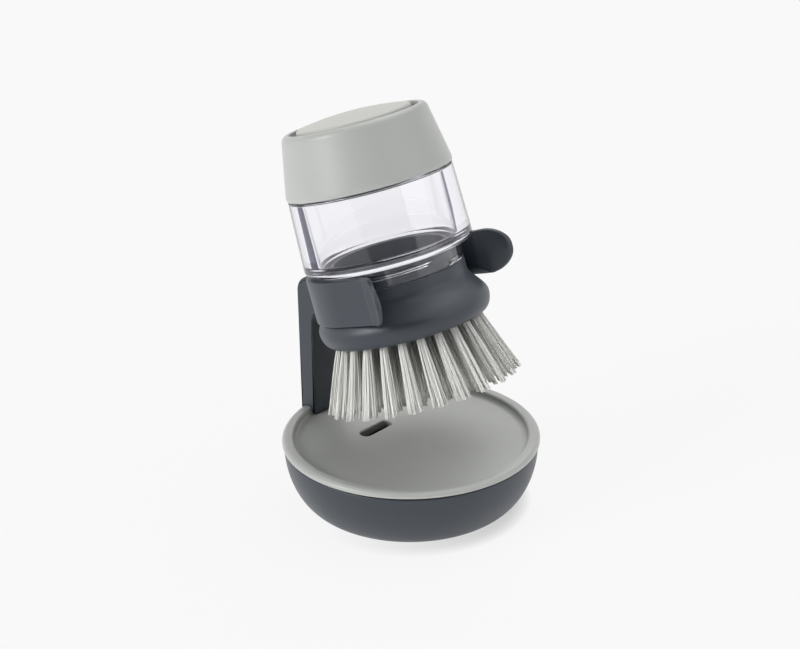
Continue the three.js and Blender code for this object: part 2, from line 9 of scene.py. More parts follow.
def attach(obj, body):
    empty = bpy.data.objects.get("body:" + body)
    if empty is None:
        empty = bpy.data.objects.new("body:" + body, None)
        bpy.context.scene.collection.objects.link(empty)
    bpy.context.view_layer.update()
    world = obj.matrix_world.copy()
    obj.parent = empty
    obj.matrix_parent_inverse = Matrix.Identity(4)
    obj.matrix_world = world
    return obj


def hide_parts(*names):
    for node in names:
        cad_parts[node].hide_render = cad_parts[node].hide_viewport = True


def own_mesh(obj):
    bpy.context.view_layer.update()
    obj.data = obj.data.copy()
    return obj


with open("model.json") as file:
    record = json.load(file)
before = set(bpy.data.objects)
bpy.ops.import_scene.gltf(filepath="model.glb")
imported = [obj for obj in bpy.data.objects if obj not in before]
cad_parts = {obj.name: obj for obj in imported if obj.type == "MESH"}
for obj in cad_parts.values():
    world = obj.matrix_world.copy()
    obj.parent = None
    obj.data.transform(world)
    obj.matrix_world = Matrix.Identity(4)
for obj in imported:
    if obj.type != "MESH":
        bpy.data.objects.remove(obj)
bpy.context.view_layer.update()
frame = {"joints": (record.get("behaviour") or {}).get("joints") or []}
scene = bpy.context.scene
scene.view_settings.view_transform = "Standard"
mm = 0.001
fullTurn = 2 * math.pi

# the brush is drawn upright, height 0 at the seam under its cap, then leaned onto the axis its cap turns on
twist = next(joint for joint in frame["joints"] if joint["name"] == "cap_twist")
brushUp = np.array(twist["axis"], float)
brushUp /= np.linalg.norm(brushUp)
brushAcross = np.array([0.0, 1.0, 0.0])
brushOut = np.cross(brushAcross, brushUp)
brushSeam = np.array(twist["pos_m"], float) / mm

# edge rounds that pieces share, and the gap between a round's end and a closely stepped wall
rounds = {"hair": 0.1, "crisp": 0.15, "fine": 0.2, "light": 0.25, "soft": 0.3, "mild": 0.35, "eased": 0.4,
          "full": 0.5}
lead = 0.1


def leaned(points):
    # seam + x * out + y * across + height * up
    return brushSeam + points @ np.stack([brushOut, brushAcross, brushUp])


def smoothStep(low, high, x):
    # 3t^2 - 2t^3 of the share t of the way from low to high
    t = np.clip((np.asarray(x, float) - low) / (high - low), 0, 1)
    return t * t * (3 - 2 * t)


def arcPoints(centre, radii, startDeg, endDeg, steps):
    # centre + (radius x * cos, radius y * sin) at even angles
    angle = np.radians(np.linspace(startDeg, endDeg, steps + 1))
    return np.stack([centre[0] + radii[0] * np.cos(angle), centre[1] + radii[1] * np.sin(angle)], 1)


def circlePoints(angle):
    return np.stack([np.cos(angle), np.sin(angle)], -1)


def rounded(facts, *corners, closed=False, steps=5):
    # each corner, "x y round" or a tuple, takes numbers or names of the piece's sizes and the shared rounds;
    # it becomes an arc of that radius which touches both its sides
    named = {**rounds, **facts}
    rows = [corner.split() if isinstance(corner, str) else corner for corner in corners]
    corners = np.array([[named.get(value, value) for value in row] for row in rows], float)
    straight, mostOfSide = math.pi - 0.01, 0.48
    last = len(corners) - 1
    runs = []
    for i, size in enumerate(corners[:, 2]):
        here = corners[i, :2]
        if size == 0 or (not closed and i in (0, last)):
            runs.append(here[None])
            continue
        before, after = corners[i - 1, :2] - here, corners[(i + 1) % (last + 1), :2] - here
        lengths = np.linalg.norm(before), np.linalg.norm(after)
        before, after = before / lengths[0], after / lengths[1]
        inner = math.acos(float(np.clip(before @ after, -1, 1)))
        if inner > straight:
            runs.append(here[None])
            continue
        reach = min(size / math.tan(inner / 2), mostOfSide * min(lengths))
        middle = here + (before + after) / np.linalg.norm(before + after) * reach / math.cos(inner / 2)
        start, end = here + before * reach - middle, here + after * reach - middle
        sweep = math.pi - inner
        t = np.linspace(0, 1, steps + 1)[:, None]
        runs.append(middle + (np.sin((1 - t) * sweep) * start + np.sin(t * sweep) * end) / math.sin(sweep))
    return np.concatenate(runs)


def braced(profile, closed=False, near=0.22):
    # a point close to each end of every straight run, so that rounds shade apart from flats
    starts, ends = (profile, np.roll(profile, -1, 0)) if closed else (profile[:-1], profile[1:])
    runs = []
    for start, end in zip(starts, ends):
        length = np.linalg.norm(end - start)
        runs.append(start[None])
        if length > 5 * near:
            step = (end - start) * near / length
            runs.append(np.stack([start + step, end - step]))
    return np.concatenate(runs if closed else [*runs, profile[-1:]])


def gridFaces(rows, columns, wrapRows, wrapColumns):
    # quads between neighbours on a grid of rows x columns
    i = np.arange(rows if wrapRows else rows - 1)[:, None]
    j = np.arange(columns if wrapColumns else columns - 1)[None, :]
    nextI, nextJ = (i + 1) % rows, (j + 1) % columns
    corners = [i * columns + j, nextI * columns + j, nextI * columns + nextJ, i * columns + nextJ]
    return np.stack([c + 0 * (i + j) for c in corners], -1).reshape(-1, 4)


def fanFaces(ring, pole):
    # triangles from a closed ring of points to one pole
    return np.stack([ring, np.roll(ring, -1), np.full(len(ring), pole)], 1)


def cappedTube(grid, first, last):
    # rows of closed rings, shut by a fan to a point at either end
    rows, columns = grid.shape[:2]
    total, ring = rows * columns, np.arange(columns)
    points = np.concatenate([grid.reshape(-1, 3), [first, last]])
    fans = [fanFaces(ring, total)[:, ::-1], fanFaces(ring + total - columns, total + 1)]
    return points, [gridFaces(rows, columns, False, True), *fans]


def inScene(name, data):
    thing = bpy.data.objects.new(name, data)
    scene.collection.objects.link(thing)
    return thing


def meshFrom(name, points, faces, look):
    # points in mm
    mesh = bpy.data.meshes.new(name)
    mesh.from_pydata((np.asarray(points, float) * mm).tolist(), [], faces)
    mesh.materials.append(look)
    return mesh


def pieceFrom(name, points, faces, look, body, slot, nodes=()):
    # lists of faces become one smooth mesh with its faces turned outwards, which rides on its body
    halves = [np.concatenate([f[:, [0, 1, 2]], f[:, [0, 2, 3]]]) if f.shape[1] == 4 else f for f in faces]
    a, b, c = np.asarray(points, float)[np.concatenate(halves)].transpose(1, 0, 2)
    if np.einsum("ij,ij->", a, np.cross(b, c)) < 0:
        faces = [f[:, ::-1] for f in faces]
    mesh = meshFrom(name, points, [face for f in faces for face in f.tolist()], look)
    mesh.polygons.foreach_set("use_smooth", np.ones(len(mesh.polygons), bool))
    mesh.validate()
    mesh.update()
    piece = inScene(name, mesh)
    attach(piece, body)
    if nodes:
        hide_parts(*nodes)
    return piece


def turned(profile, sides, ridge=None):
    # radius and height along the profile, carried round the axis; ridge adds to the radius.
    # a profile that starts and ends on the axis gets two poles, any other closes on itself
    profile = np.asarray(profile, float)
    onAxis = profile[0, 0] < 1e-6
    radius, height = (profile[1:-1] if onAxis else profile).T[:, None]
    angle = np.linspace(0, fullTurn, sides, endpoint=False)[:, None]
    radius = radius + (ridge(angle, radius, height) if ridge else 0)
    grid = np.stack([radius * np.cos(angle), radius * np.sin(angle), height + 0 * angle], -1)
    count = grid.shape[1]
    points, faces = grid.reshape(-1, 3), [gridFaces(sides, count, True, not onAxis)]
    if onAxis:
        ring, total = np.arange(sides) * count, sides * count
        points = np.concatenate([points, [[0, 0, profile[0, 1]], [0, 0, profile[-1, 1]]]])
        faces += [fanFaces(ring, total)[:, ::-1], fanFaces(ring + count - 1, total + 1)]
    return points, faces


def brushPiece(name, profile, sides, *facts, ridge=None):
    # a turned piece of the brush, leaned into place
    points, faces = turned(profile, sides, ridge)
    return pieceFrom(name, leaned(points), faces, *facts)


def threadRidge(wall, start, outward):
    # one turn of ridge: height * (1 - (distance from the helix / half width)^2)^2, faded at both ends
    thread = {"pitch": 3.0, "height": 0.75, "halfWidth": 0.85, "fade": 0.35, "wallWithin": 0.03}

    def ridge(angle, radius, height):
        helix = start + thread["pitch"] * angle / fullTurn
        away = np.clip(np.abs(height - helix) / thread["halfWidth"], 0, 1)
        ends = smoothStep(0, thread["fade"], angle) * smoothStep(0, thread["fade"], fullTurn - angle)
        onWall = np.abs(radius - wall) < thread["wallWithin"]
        return np.where(onWall, outward * thread["height"] * ends * (1 - away**2) ** 2, 0)

    return ridge


def wallRun(radius, bottom, top, step=0.14):
    # a straight wall with closely spaced points, for a thread to lift
    count = max(2, int(abs(top - bottom) / step))
    return np.stack([np.full(count + 1, radius), np.linspace(bottom, top, count + 1)], 1)


# finishes
def setInputs(node, **values):
    # an underscore stands for a space in the input's name
    for name, value in values.items():
        node.inputs[name.replace("_", " ")].default_value = value
    return node


def addNode(nodes, kind, **values):
    return setInputs(nodes.new("ShaderNode" + kind), **values)


def wire(links, *runs):
    # each run: a node, its output, the node that takes it, that node's input
    for source, output, target, entry in runs:
        links.new(source.outputs[output], target.inputs[entry])


def rampNode(nodes, *stops):
    # colour ramp between two stops, each a position and a colour
    ramp = addNode(nodes, "ValToRGB")
    for element, (position, colour) in zip(ramp.color_ramp.elements, stops):
        element.position, element.color = position, colour
    return ramp


def newLook(name, **values):
    look = bpy.data.materials.new(name)
    look.use_nodes = True
    nodes, links = look.node_tree.nodes, look.node_tree.links
    return look, nodes, links, setInputs(nodes["Principled BSDF"], **values)


def grey(level):
    return (level, level, level, 1)


def fromSrgb(red, green, blue):
    # display values of 0 to 255 as the light they stand for
    share = np.array([red, green, blue]) / 255
    light = np.where(share <= 0.04045, share / 12.92, ((share + 0.055) / 1.055) ** 2.4)
    return (*light.tolist(), 1.0)


def makeMouldedGrain():
    # fine spark grain for the bump, slow blotches for tone, and a slow change of roughness
    group = bpy.data.node_groups.new("mouldedGrain", "ShaderNodeTree")
    knobs = {"Grain Scale": 3000.0, "Blotch Scale": 90.0, "Rough Low": 0.4, "Rough High": 0.6}
    for name, value in knobs.items():
        knob = group.interface.new_socket(name=name, in_out="INPUT", socket_type="NodeSocketFloat")
        knob.default_value = value
    for name in ("Height", "Tone", "Roughness"):
        group.interface.new_socket(name=name, in_out="OUTPUT", socket_type="NodeSocketFloat")
    nodes, links = group.nodes, group.links
    entry, leave = nodes.new("NodeGroupInput"), nodes.new("NodeGroupOutput")
    place = addNode(nodes, "TexCoord")
    grain = addNode(nodes, "TexNoise", Detail=3.0, Roughness=0.6)
    blotch = addNode(nodes, "TexNoise", Detail=4.0, Roughness=0.55, Distortion=0.4)
    rough = addNode(nodes, "MapRange", From_Min=0.3, From_Max=0.7)
    for texture, scale in ((grain, "Grain Scale"), (blotch, "Blotch Scale")):
        wire(links, (place, "Object", texture, "Vector"), (entry, scale, texture, "Scale"))
    wire(links, (blotch, "Fac", rough, "Value"), (entry, "Rough Low", rough, "To Min"),
         (entry, "Rough High", rough, "To Max"), (grain, "Fac", leave, "Height"),
         (blotch, "Fac", leave, "Tone"), (rough, "Result", leave, "Roughness"))
    return group


mouldedGrain = makeMouldedGrain()


def grainNode(nodes, **values):
    grain = addNode(nodes, "Group")
    grain.node_tree = mouldedGrain
    return setInputs(grain, **values)


def mouldedLook(name, shade, spread, grain, blotch, rough, bump, bumpDepth=0.0002, **values):
    # plastic whose colour moves a little either side of its shade, with the grain as bump
    look, nodes, links, shader = newLook(name, **values)
    mould = grainNode(nodes, Grain_Scale=grain, Blotch_Scale=blotch, Rough_Low=rough[0], Rough_High=rough[1])
    base = np.array(fromSrgb(*shade)[:3])
    ramp = rampNode(nodes, (0.3, (*(base * (1 - spread)), 1)), (0.7, (*(base * (1 + spread)), 1)))
    relief = addNode(nodes, "Bump", Strength=bump, Distance=bumpDepth)
    wire(links, (mould, "Tone", ramp, "Fac"), (ramp, "Color", shader, "Base Color"),
         (mould, "Roughness", shader, "Roughness"), (mould, "Height", relief, "Height"),
         (relief, "Normal", shader, "Normal"))
    return look


satinDark = mouldedLook("satinDark", shade=(51, 57, 65), spread=0.05, grain=3200, blotch=70,
                        rough=(0.36, 0.46), bump=0.12)
matteGrey = mouldedLook("matteGrey", shade=(175, 177, 174), spread=0.02, grain=2600, blotch=60,
                        rough=(0.32, 0.40), bump=0.10)
buttonGrey = mouldedLook("buttonGrey", shade=(194, 194, 189), spread=0.02, grain=2600, blotch=60,
                         rough=(0.48, 0.6), bump=0.10)
rubberDark = mouldedLook("rubberDark", shade=(46, 48, 51), spread=0.08, grain=1800, blotch=120,
                         rough=(0.72, 0.88), bump=0.25)
siliconeMilky = mouldedLook("siliconeMilky", shade=(219, 219, 213), spread=0.02, grain=1500, blotch=80,
                            rough=(0.42, 0.58), bump=0.06, Subsurface_Weight=0.25, Subsurface_Scale=0.002)
steelDrawn = mouldedLook("steelDrawn", shade=(186, 189, 192), spread=0.04, grain=4000, blotch=300,
                         rough=(0.22, 0.36), bump=0.08, bumpDepth=0.0001, Metallic=1.0)


def makeClearBody():
    # faint violet, polished, with slow swirls in the polish; shadow rays go straight through, dimmed
    clear = {"tint": (0.99, 0.99, 0.995, 1), "index": 1.5, "rough": (0.0, 0.035), "swirl": 60.0,
             "inside": (0.55, 0.5, 0.85, 1), "density": 8.0, "shadow": (0.5, 0.5, 0.56, 1)}
    look, nodes, links, shader = newLook("clearBody", Base_Color=clear["tint"], IOR=clear["index"],
                                         Transmission_Weight=1.0)
    polish = grainNode(nodes, Blotch_Scale=clear["swirl"], Rough_Low=clear["rough"][0],
                       Rough_High=clear["rough"][1])
    path, mixer = addNode(nodes, "LightPath"), addNode(nodes, "MixShader")
    through = addNode(nodes, "BsdfTransparent", Color=clear["shadow"])
    inside = addNode(nodes, "VolumeAbsorption", Color=clear["inside"], Density=clear["density"])
    leave = nodes["Material Output"]
    wire(links, (polish, "Roughness", shader, "Roughness"), (path, "Is Shadow Ray", mixer, "Fac"),
         (shader, "BSDF", mixer, 1), (through, "BSDF", mixer, 2), (mixer, "Shader", leave, "Surface"),
         (inside, "Volume", leave, "Volume"))
    return look


def makeNylonFilament():
    # every filament has its own tone, times painted shade that is darker at the root, most of all in the
    # inner rows
    nylon = {"dull": (226, 226, 222), "bright": (244, 244, 240), "rough": 0.42}
    look, nodes, links, shader = newLook("nylonFilament", Roughness=nylon["rough"])
    tone, shade = addNode(nodes, "Attribute"), addNode(nodes, "Attribute")
    tone.attribute_name, shade.attribute_name = "strandTone", "strandPaintedShade"
    ramp = rampNode(nodes, (0, fromSrgb(*nylon["dull"])), (1, fromSrgb(*nylon["bright"])))
    mixer = addNode(nodes, "Mix", Factor=1.0)
    mixer.data_type, mixer.blend_type = "RGBA", "MULTIPLY"
    wire(links, (tone, "Fac", ramp, "Fac"), (ramp, "Color", mixer, "A"), (shade, "Color", mixer, "B"),
         (mixer, "Result", shader, "Base Color"))
    return look


clearBody = makeClearBody()
nylonFilament = makeNylonFilament()
print("finishes ready")

# bowl: quarter-ellipse wall on a flat foot, with a recess for the pad
bowl = {"top": 51.8, "height": 26.7, "foot": 36.0, "footUp": 0.6, "wall": 2.3, "inside": 4.5,
        "lipInner": 49.5, "recess": 34.4, "recessTop": 2.1, "edge": 0.6}


def makeBowl():
    # outside: foot + out * cos, height + rise * sin over a quarter turn; inside the same, one wall in
    centre = bowl["foot"], bowl["height"]
    out = bowl["top"] - bowl["foot"]
    outside = arcPoints(centre, (out, bowl["height"] - bowl["footUp"]), -90, -2, 40)
    inside = arcPoints(centre, (out - bowl["wall"], bowl["height"] - bowl["inside"]), -2, -90, 30)
    lip = rounded(bowl, (*outside[-1], 0), "top height edge", "lipInner height edge", (*inside[0], 0))
    under = rounded(bowl, "0 recessTop 0", "recess recessTop soft", "recess footUp mild", (*outside[0], 0))
    floor = np.linspace((bowl["foot"], bowl["inside"]), (0, bowl["inside"]), 6)[1:]
    profile = np.concatenate([braced(under[:-1]), outside[:-1], lip, inside[1:], floor])
    pieceFrom("bowl_shell", *turned(profile, 192), satinDark, "base", "dark_plastic", ["bowl"])


# pad: flat disc with a bevelled lower edge and shallow grip grooves in its underside
pad = {"radius": 34.1, "thickness": 1.8, "bevel": 0.6, "bevelFrom": 33.5, "flatFrom": 0.5, "flatTo": 33.1,
       "grooves": 6, "grooveDepth": 0.35, "grooveFrom": 8.0, "grooveTo": 32.9, "grooveSides": 1.6}


def makePad():
    # grooves: depth * the upper half of a sine of the radius, steepened and cut flat
    r = np.linspace(pad["flatFrom"], pad["grooveTo"], 150)
    share = (r - pad["grooveFrom"]) / (pad["grooveTo"] - pad["grooveFrom"])
    wave = np.sin(np.pi * (2 * pad["grooves"] * share + 1)) * pad["grooveSides"]
    under = np.stack([r, pad["grooveDepth"] * np.where(share > 0, np.clip(wave, 0, 1), 0)], 1)
    edge = rounded(pad, "flatTo 0 0", "bevelFrom 0 fine", "radius bevel fine", "radius thickness fine",
                   "0 thickness 0")
    profile = np.concatenate([[(0, 0)], under, braced(edge)])
    pieceFrom("grip_pad", *turned(profile, 144), rubberDark, "base", "soft_rubber", ["non_slip_pad"])


makeBowl()
makePad()
print("base: bowl and pad")

# tray: dished floor with a drain slot, rounded rim over the bowl, skirt inside it
tray = {"radius": 52.5, "rimTop": 29.85, "rimInner": 48.7, "rimUnder": 27.5, "edgeReach": 2.1,
        "edgeDrop": 1.8, "crestReach": 1.1, "crestDrop": 1.0, "filletReach": 2.6, "floor": 24.8, "slope": 2.0,
        "thickness": 2.2, "skirtOuter": 49.1, "skirtInner": 47.3, "skirtBottom": 23.7, "underEdge": 44.3,
        "slotX": -19.4, "slotLength": 17.0, "slotWidth": 5.0, "slotRound": 0.6, "slotSink": 0.6,
        "undercut": 1.5, "spoutWall": 2.5, "spoutBottom": 20.6, "spoutRound": 0.35, "rays": 288}
floorEdge = tray["rimInner"] - tray["crestReach"] - tray["filletReach"]
crestBottom = tray["rimTop"] - tray["crestDrop"]
edgeBottom = tray["rimTop"] - tray["edgeDrop"]


def floorHeight(radius):
    # shallow dish: middle + slope * (radius / edge)^2
    return tray["floor"] + tray["slope"] * (radius / floorEdge) ** 2


filletRise = crestBottom - floorHeight(floorEdge)


def underHeight(radius):
    return floorHeight(radius) - tray["thickness"]


def quarter(share):
    # height of a unit circle at a share of its radius
    return np.sqrt(np.clip(1 - share**2, 0, 1))


def trayTop(radius):
    # the dish, then a quarter ellipse up, a quarter ellipse over, the flat rim and its rounded outer edge
    up = crestBottom - filletRise * quarter((radius - floorEdge) / tray["filletReach"])
    over = crestBottom + tray["crestDrop"] * quarter((tray["rimInner"] - radius) / tray["crestReach"])
    past = np.clip((radius - tray["radius"]) / tray["edgeReach"] + 1, 0, 1)
    edge = tray["rimTop"] - tray["edgeDrop"] * (1 - quarter(past))
    crest = np.where(radius < tray["rimInner"], over, edge)
    risen = np.where(radius < tray["rimInner"] - tray["crestReach"], up, crest)
    return np.where(radius < floorEdge, floorHeight(radius), risen)


def slotOutline(angle, grow):
    # slot along Y with round ends: where the ray at each angle leaves its straight side or its round end
    half, straight = tray["slotWidth"] / 2 + grow, (tray["slotLength"] - tray["slotWidth"]) / 2
    across, along = np.cos(angle), np.sin(angle)
    side = half / np.maximum(np.abs(across), 1e-9)
    end = straight * np.abs(along) + np.sqrt(np.maximum(half**2 - (straight * across) ** 2, 0))
    reach = np.where(np.abs(side * along) <= straight, side, end)
    return np.stack([tray["slotX"] + reach * across, reach * along], -1)


def makeTray():
    # rays from the slot's middle: slot wall and edge, floor, rim, skirt, underside and back to the slot
    count = tray["rays"]
    angle = np.linspace(0, fullTurn, count, endpoint=False)
    circle = circlePoints(angle)
    rings = []

    def addRing(flat, height):
        rings.append(np.concatenate([flat, np.broadcast_to(height, count)[:, None]], 1))

    def addFloor(shares, edge, heightOf, grow):
        inner, outer = slotOutline(angle, grow), edge * circle
        for share in shares:
            flat = inner * (1 - share) + outer * share
            addRing(flat, heightOf(np.linalg.norm(flat, axis=1)))

    lowest = tray["spoutBottom"] + tray["spoutRound"]
    wallTop = floorHeight(np.linalg.norm(slotOutline(angle, 0), axis=1)) - tray["slotSink"]
    for share in np.linspace(0, 1, 8):
        addRing(slotOutline(angle, tray["undercut"] * (1 - share)), lowest + (wallTop - lowest) * share)
    for turn in np.radians(np.linspace(12, 90, 8)):
        flat = slotOutline(angle, tray["slotRound"] * (1 - np.cos(turn)))
        addRing(flat, floorHeight(np.linalg.norm(flat, axis=1)) - tray["slotSink"] * (1 - np.sin(turn)))
    addFloor([0.012, *np.linspace(0.04, 1, 34)], floorEdge, floorHeight, tray["slotRound"])
    fillet = arcPoints((floorEdge, crestBottom), (tray["filletReach"], filletRise), -82, 0, 12)
    crest = arcPoints((tray["rimInner"], crestBottom), (tray["crestReach"], tray["crestDrop"]), 172, 90, 10)
    edge = arcPoints((tray["radius"] - tray["edgeReach"], edgeBottom), (tray["edgeReach"], tray["edgeDrop"]),
                     90, 6, 12)
    outside = rounded(tray, ("radius", edgeBottom, 0), "radius rimUnder fine", "skirtOuter rimUnder fine",
                      "skirtOuter skirtBottom eased", "skirtInner skirtBottom eased",
                      ("skirtInner", underHeight(tray["skirtInner"]), "full"),
                      ("underEdge", underHeight(tray["underEdge"]), 0), steps=7)
    for radius, height in np.concatenate([fillet, crest, edge, braced(outside)]):
        addRing(radius * circle, height)
    addFloor(np.linspace(1, 0.03, 12)[1:], tray["underEdge"], underHeight, tray["spoutWall"])
    spout = slotOutline(angle, tray["spoutWall"])
    spoutTop = underHeight(np.linalg.norm(spout, axis=1))
    for share in (0.02, 0.1, 0.5, 0.9, 1.0):
        addRing(spout, spoutTop + (lowest - spoutTop) * share)
    for grow, way, turns in ((tray["spoutWall"], -1, (30, 60, 90)), (tray["undercut"], 1, (90, 60, 30))):
        for turn in np.radians(turns):
            cut = tray["spoutRound"] * (1 - np.cos(turn))
            addRing(slotOutline(angle, grow + way * cut), lowest - tray["spoutRound"] * np.sin(turn))
    faces = gridFaces(len(rings), count, True, True)
    pieceFrom("drip_tray", np.concatenate(rings), [faces], matteGrey, "holder", "light_plastic", ["tray"])


# boss under the tray that the post screws pass through
boss = {"fromX": -48.2, "toX": -43.0, "halfWidth": 8.4, "bottom": 23.7, "top": 25.4, "round": 0.9,
        "edge": 0.5}


def makeBoss():
    # rounded rectangle carried up Z, drawn in toward its bottom by a quarter round
    middle, halfX = (boss["fromX"] + boss["toX"]) / 2, (boss["toX"] - boss["fromX"]) / 2
    turn = np.radians(np.linspace(0, 90, 6))
    heights = [*(boss["bottom"] + boss["edge"] * (1 - np.cos(turn))), boss["top"]]
    cuts = [*(boss["edge"] * (1 - np.sin(turn))), 0.0]
    rings = []
    for height, cut in zip(heights, cuts):
        x, y = halfX - cut, boss["halfWidth"] - cut
        corners = ((x, -y, "round"), (x, y, "round"), (-x, y, "round"), (-x, -y, "round"))
        ring = braced(rounded(boss, *corners, closed=True, steps=6), True)
        rings.append(np.c_[ring + (middle, 0), np.full(len(ring), height)])
    ends = [middle, 0, boss["bottom"]], [middle, 0, boss["top"]]
    pieceFrom("tray_boss", *cappedTube(np.stack(rings), *ends), matteGrey, "holder", "light_plastic")


makeTray()
makeBoss()
print("holder: tray")

# screws up through the tray into the post
screws = {"x": -46.4, "y": 5.0, "headBottom": 21.9, "headTop": 23.4, "head": 2.0, "headRound": 0.55,
          "shank": 1.1, "shankRound": 0.12, "neck": 24.4, "threadFrom": 24.6, "threadTo": 39.4, "tip": 41.4,
          "pitch": 1.1, "ridge": 0.22, "ridgeSides": 5, "groove": 0.12, "socket": 1.0, "socketRim": 1.05,
          "socketTop": 22.8, "socketWall": (22.7, 21.98), "lobes": 6, "lobe": 0.1}


def makeScrew(name, node, y):
    # head with a six-lobed socket, then a shank whose radius follows a helix up to its point
    s = screws
    socket = [(s["socket"] * share, s["socketTop"]) for share in (0, 0.5, 0.92)]
    socket += [(s["socket"], height) for height in s["socketWall"]]
    head = rounded(s, "socketRim headBottom 0", "head headBottom headRound", "head headTop crisp",
                   "shank headTop shankRound", "shank neck 0")
    shank = wallRun(s["shank"], s["threadFrom"], s["threadTo"], 0.18)
    point = np.linspace((s["shank"], s["threadTo"]), (0.0, s["tip"]), 9)[1:]

    def shape(angle, radius, height):
        inSocket = (height < s["socketTop"] + 0.01) & (radius <= s["socket"] + 0.01)
        lobes = s["lobe"] * np.cos(s["lobes"] * angle) * np.clip(radius / s["socket"], 0, 1)
        onShank = (height > s["threadFrom"] - lead) & (height < s["threadTo"] + lead)
        turns = (height / s["pitch"] - angle / fullTurn) % 1
        crest = s["ridge"] * np.clip(1 - np.abs(turns - 0.5) * s["ridgeSides"], 0, 1) - s["groove"]
        return np.where(inSocket, lobes, 0) + np.where(onShank, np.minimum(crest, 0.0), 0)

    points, faces = turned(np.concatenate([socket, head, shank, point]), 36, shape)
    pieceFrom(name, points + np.array([s["x"], y, 0]), faces, steelDrawn, "holder", "steel", [node])


makeScrew("screw_near", "post_screw_near", -screws["y"])
makeScrew("screw_far", "post_screw_far", screws["y"])
print("holder: screws")

# brush head outline, which the clip has to clear
head = {"top": -37.8, "bottom": -59.8, "neck": 28.5, "neckRound": 0.55, "flareTop": -42.1,
        "flareBottom": -53.6, "flange": 34.8, "flangeRound": 3.9, "collar": 25.4, "collarTop": -28.8,
        "collarStep": -31.0, "sealBore": 24.4, "collarBore": 22.6, "well": -41.5, "wellRound": 1.0,
        "outlet": 5.2, "outletRim": 5.5, "valveSeat": -43.2, "valveSeatRadius": 9.7, "recess": 30.0,
        "recessRim": 30.8, "recessTop": -54.8, "neckEnd": -41.9, "wallTop": -31.9, "wallBottom": -37.4,
        "threadStart": -35.1}


def headRadius(height):
    # straight neck, then a smooth step out to the flange
    out = smoothStep(-head["flareTop"], -head["flareBottom"], -np.asarray(height))
    return head["neck"] + (head["flange"] - head["neck"]) * out


# post: upright slab from the tray to the back of the clip
post = {"outer": -52.5, "inner": -44.4, "width": 20.2, "edge": 1.1, "top": 82.1, "topRound": 6.5,
        "bendStart": 71.05, "bendRound": 5.0, "bridgeLow": (-35.47, 77.05), "bridgeHigh": (-39.34, 92.67),
        "footGap": 0.3, "drawnFrom": 30.0, "straightTo": 60.0, "sections": 90}


def footHeight(x, y):
    return trayTop(np.hypot(x, y)) + post["footGap"]


def evenLine(line):
    # the same number of evenly spaced points along either side line
    along = np.concatenate([[0], np.cumsum(np.linalg.norm(np.diff(line, axis=0), axis=1))])
    at = np.linspace(0, along[-1], post["sections"])
    return np.stack([np.interp(at, along, line[:, 0]), np.interp(at, along, line[:, 1])], 1)


def makePost():
    # rounded rectangle carried up between an outer and an inner side line; its foot follows the tray
    inner = rounded(post, "inner drawnFrom 0", "inner bendStart bendRound", (*post["bridgeLow"], 0),
                    steps=14)
    top = arcPoints((post["outer"] + post["topRound"], post["top"]), (post["topRound"],) * 2, 180, 75, 18)
    outer = np.concatenate([[(post["outer"], post["drawnFrom"])], top, [post["bridgeHigh"]]])
    innerLine, outerLine = evenLine(inner), evenLine(outer)
    half = np.linalg.norm(outerLine - innerLine, axis=1)[:, None] / 2
    # ring as offsets from the corners, so that the edge round keeps its size on every section;
    # two sides have points along them, for the foot to follow the rim
    turn = np.radians(np.linspace(0, 90, 6))
    between = np.linspace(1, -1, 18)[1:-1]
    runs = []
    for x, y in ((1, -1), (1, 1), (-1, 1), (-1, -1)):
        bend = turn if x == y else turn[::-1]
        runs.append(np.stack([x + 0 * bend, y + 0 * bend, x * (np.cos(bend) - 1), y * (np.sin(bend) - 1)]))
        if x == y:
            runs.append(np.stack([x * between, y + 0 * between, 0 * between, 0 * between]))
    ringX, ringY, edgeX, edgeY = np.concatenate(runs, 1)
    share = (ringX * half + edgeX * post["edge"]) / half
    flat = (innerLine + outerLine)[:, None] / 2 + share[..., None] * (innerLine - outerLine)[:, None] / 2
    across = np.broadcast_to(ringY * post["width"] / 2 + edgeY * post["edge"], share.shape)
    grid = np.stack([flat[..., 0], across, flat[..., 1]], -1)
    # below the bend the slab is straight, so its heights run from the tray's surface up
    high, height = post["straightTo"], grid[..., 2]
    down = np.clip((high - height) / (high - post["drawnFrom"]), 0, 1)
    foot = footHeight(grid[..., 0], grid[..., 1])
    grid[..., 2] = np.where(height < high, high - (high - foot) * down, height)
    centre = grid[0].mean(0)
    caps = []
    for shrink in (0.3, 0.6):
        ring = centre + (grid[0] - centre) * shrink
        ring[:, 2] = footHeight(ring[:, 0], ring[:, 1])
        caps.append(ring)
    centre[2] = footHeight(centre[0], centre[1])
    points, faces = cappedTube(np.concatenate([caps, grid]), centre, grid[-1].mean(0))
    pieceFrom("post", points, faces, satinDark, "holder", "dark_plastic", ["post_with_clip"])


# clip: an open band round the neck, with a fold and a flared round lip at the end of each arm
clip = {"top": -31.0, "bottom": -49.3, "inner": 28.9, "outer": 34.4, "arm": 34.0, "armEnd": 16.0,
        "foldAt": 16.9, "foldRound": 0.35, "flare": 0.40, "curl": 0.0143, "lipThickness": 1.9,
        "thinBetween": (9.0, 26.0), "lipEnd": 28.6, "rimReach": 1.3, "thinnest": 0.002, "edge": 0.7,
        "edgeOfTall": 0.98, "edgeOfThick": 0.46, "gap": 0.4, "pillow": 0.8, "pillowFrom": (18.5, 24.0),
        "armRun": (1.0, 15.5, 12), "foldRun": (15.8, 44), "lipSteps": 25}


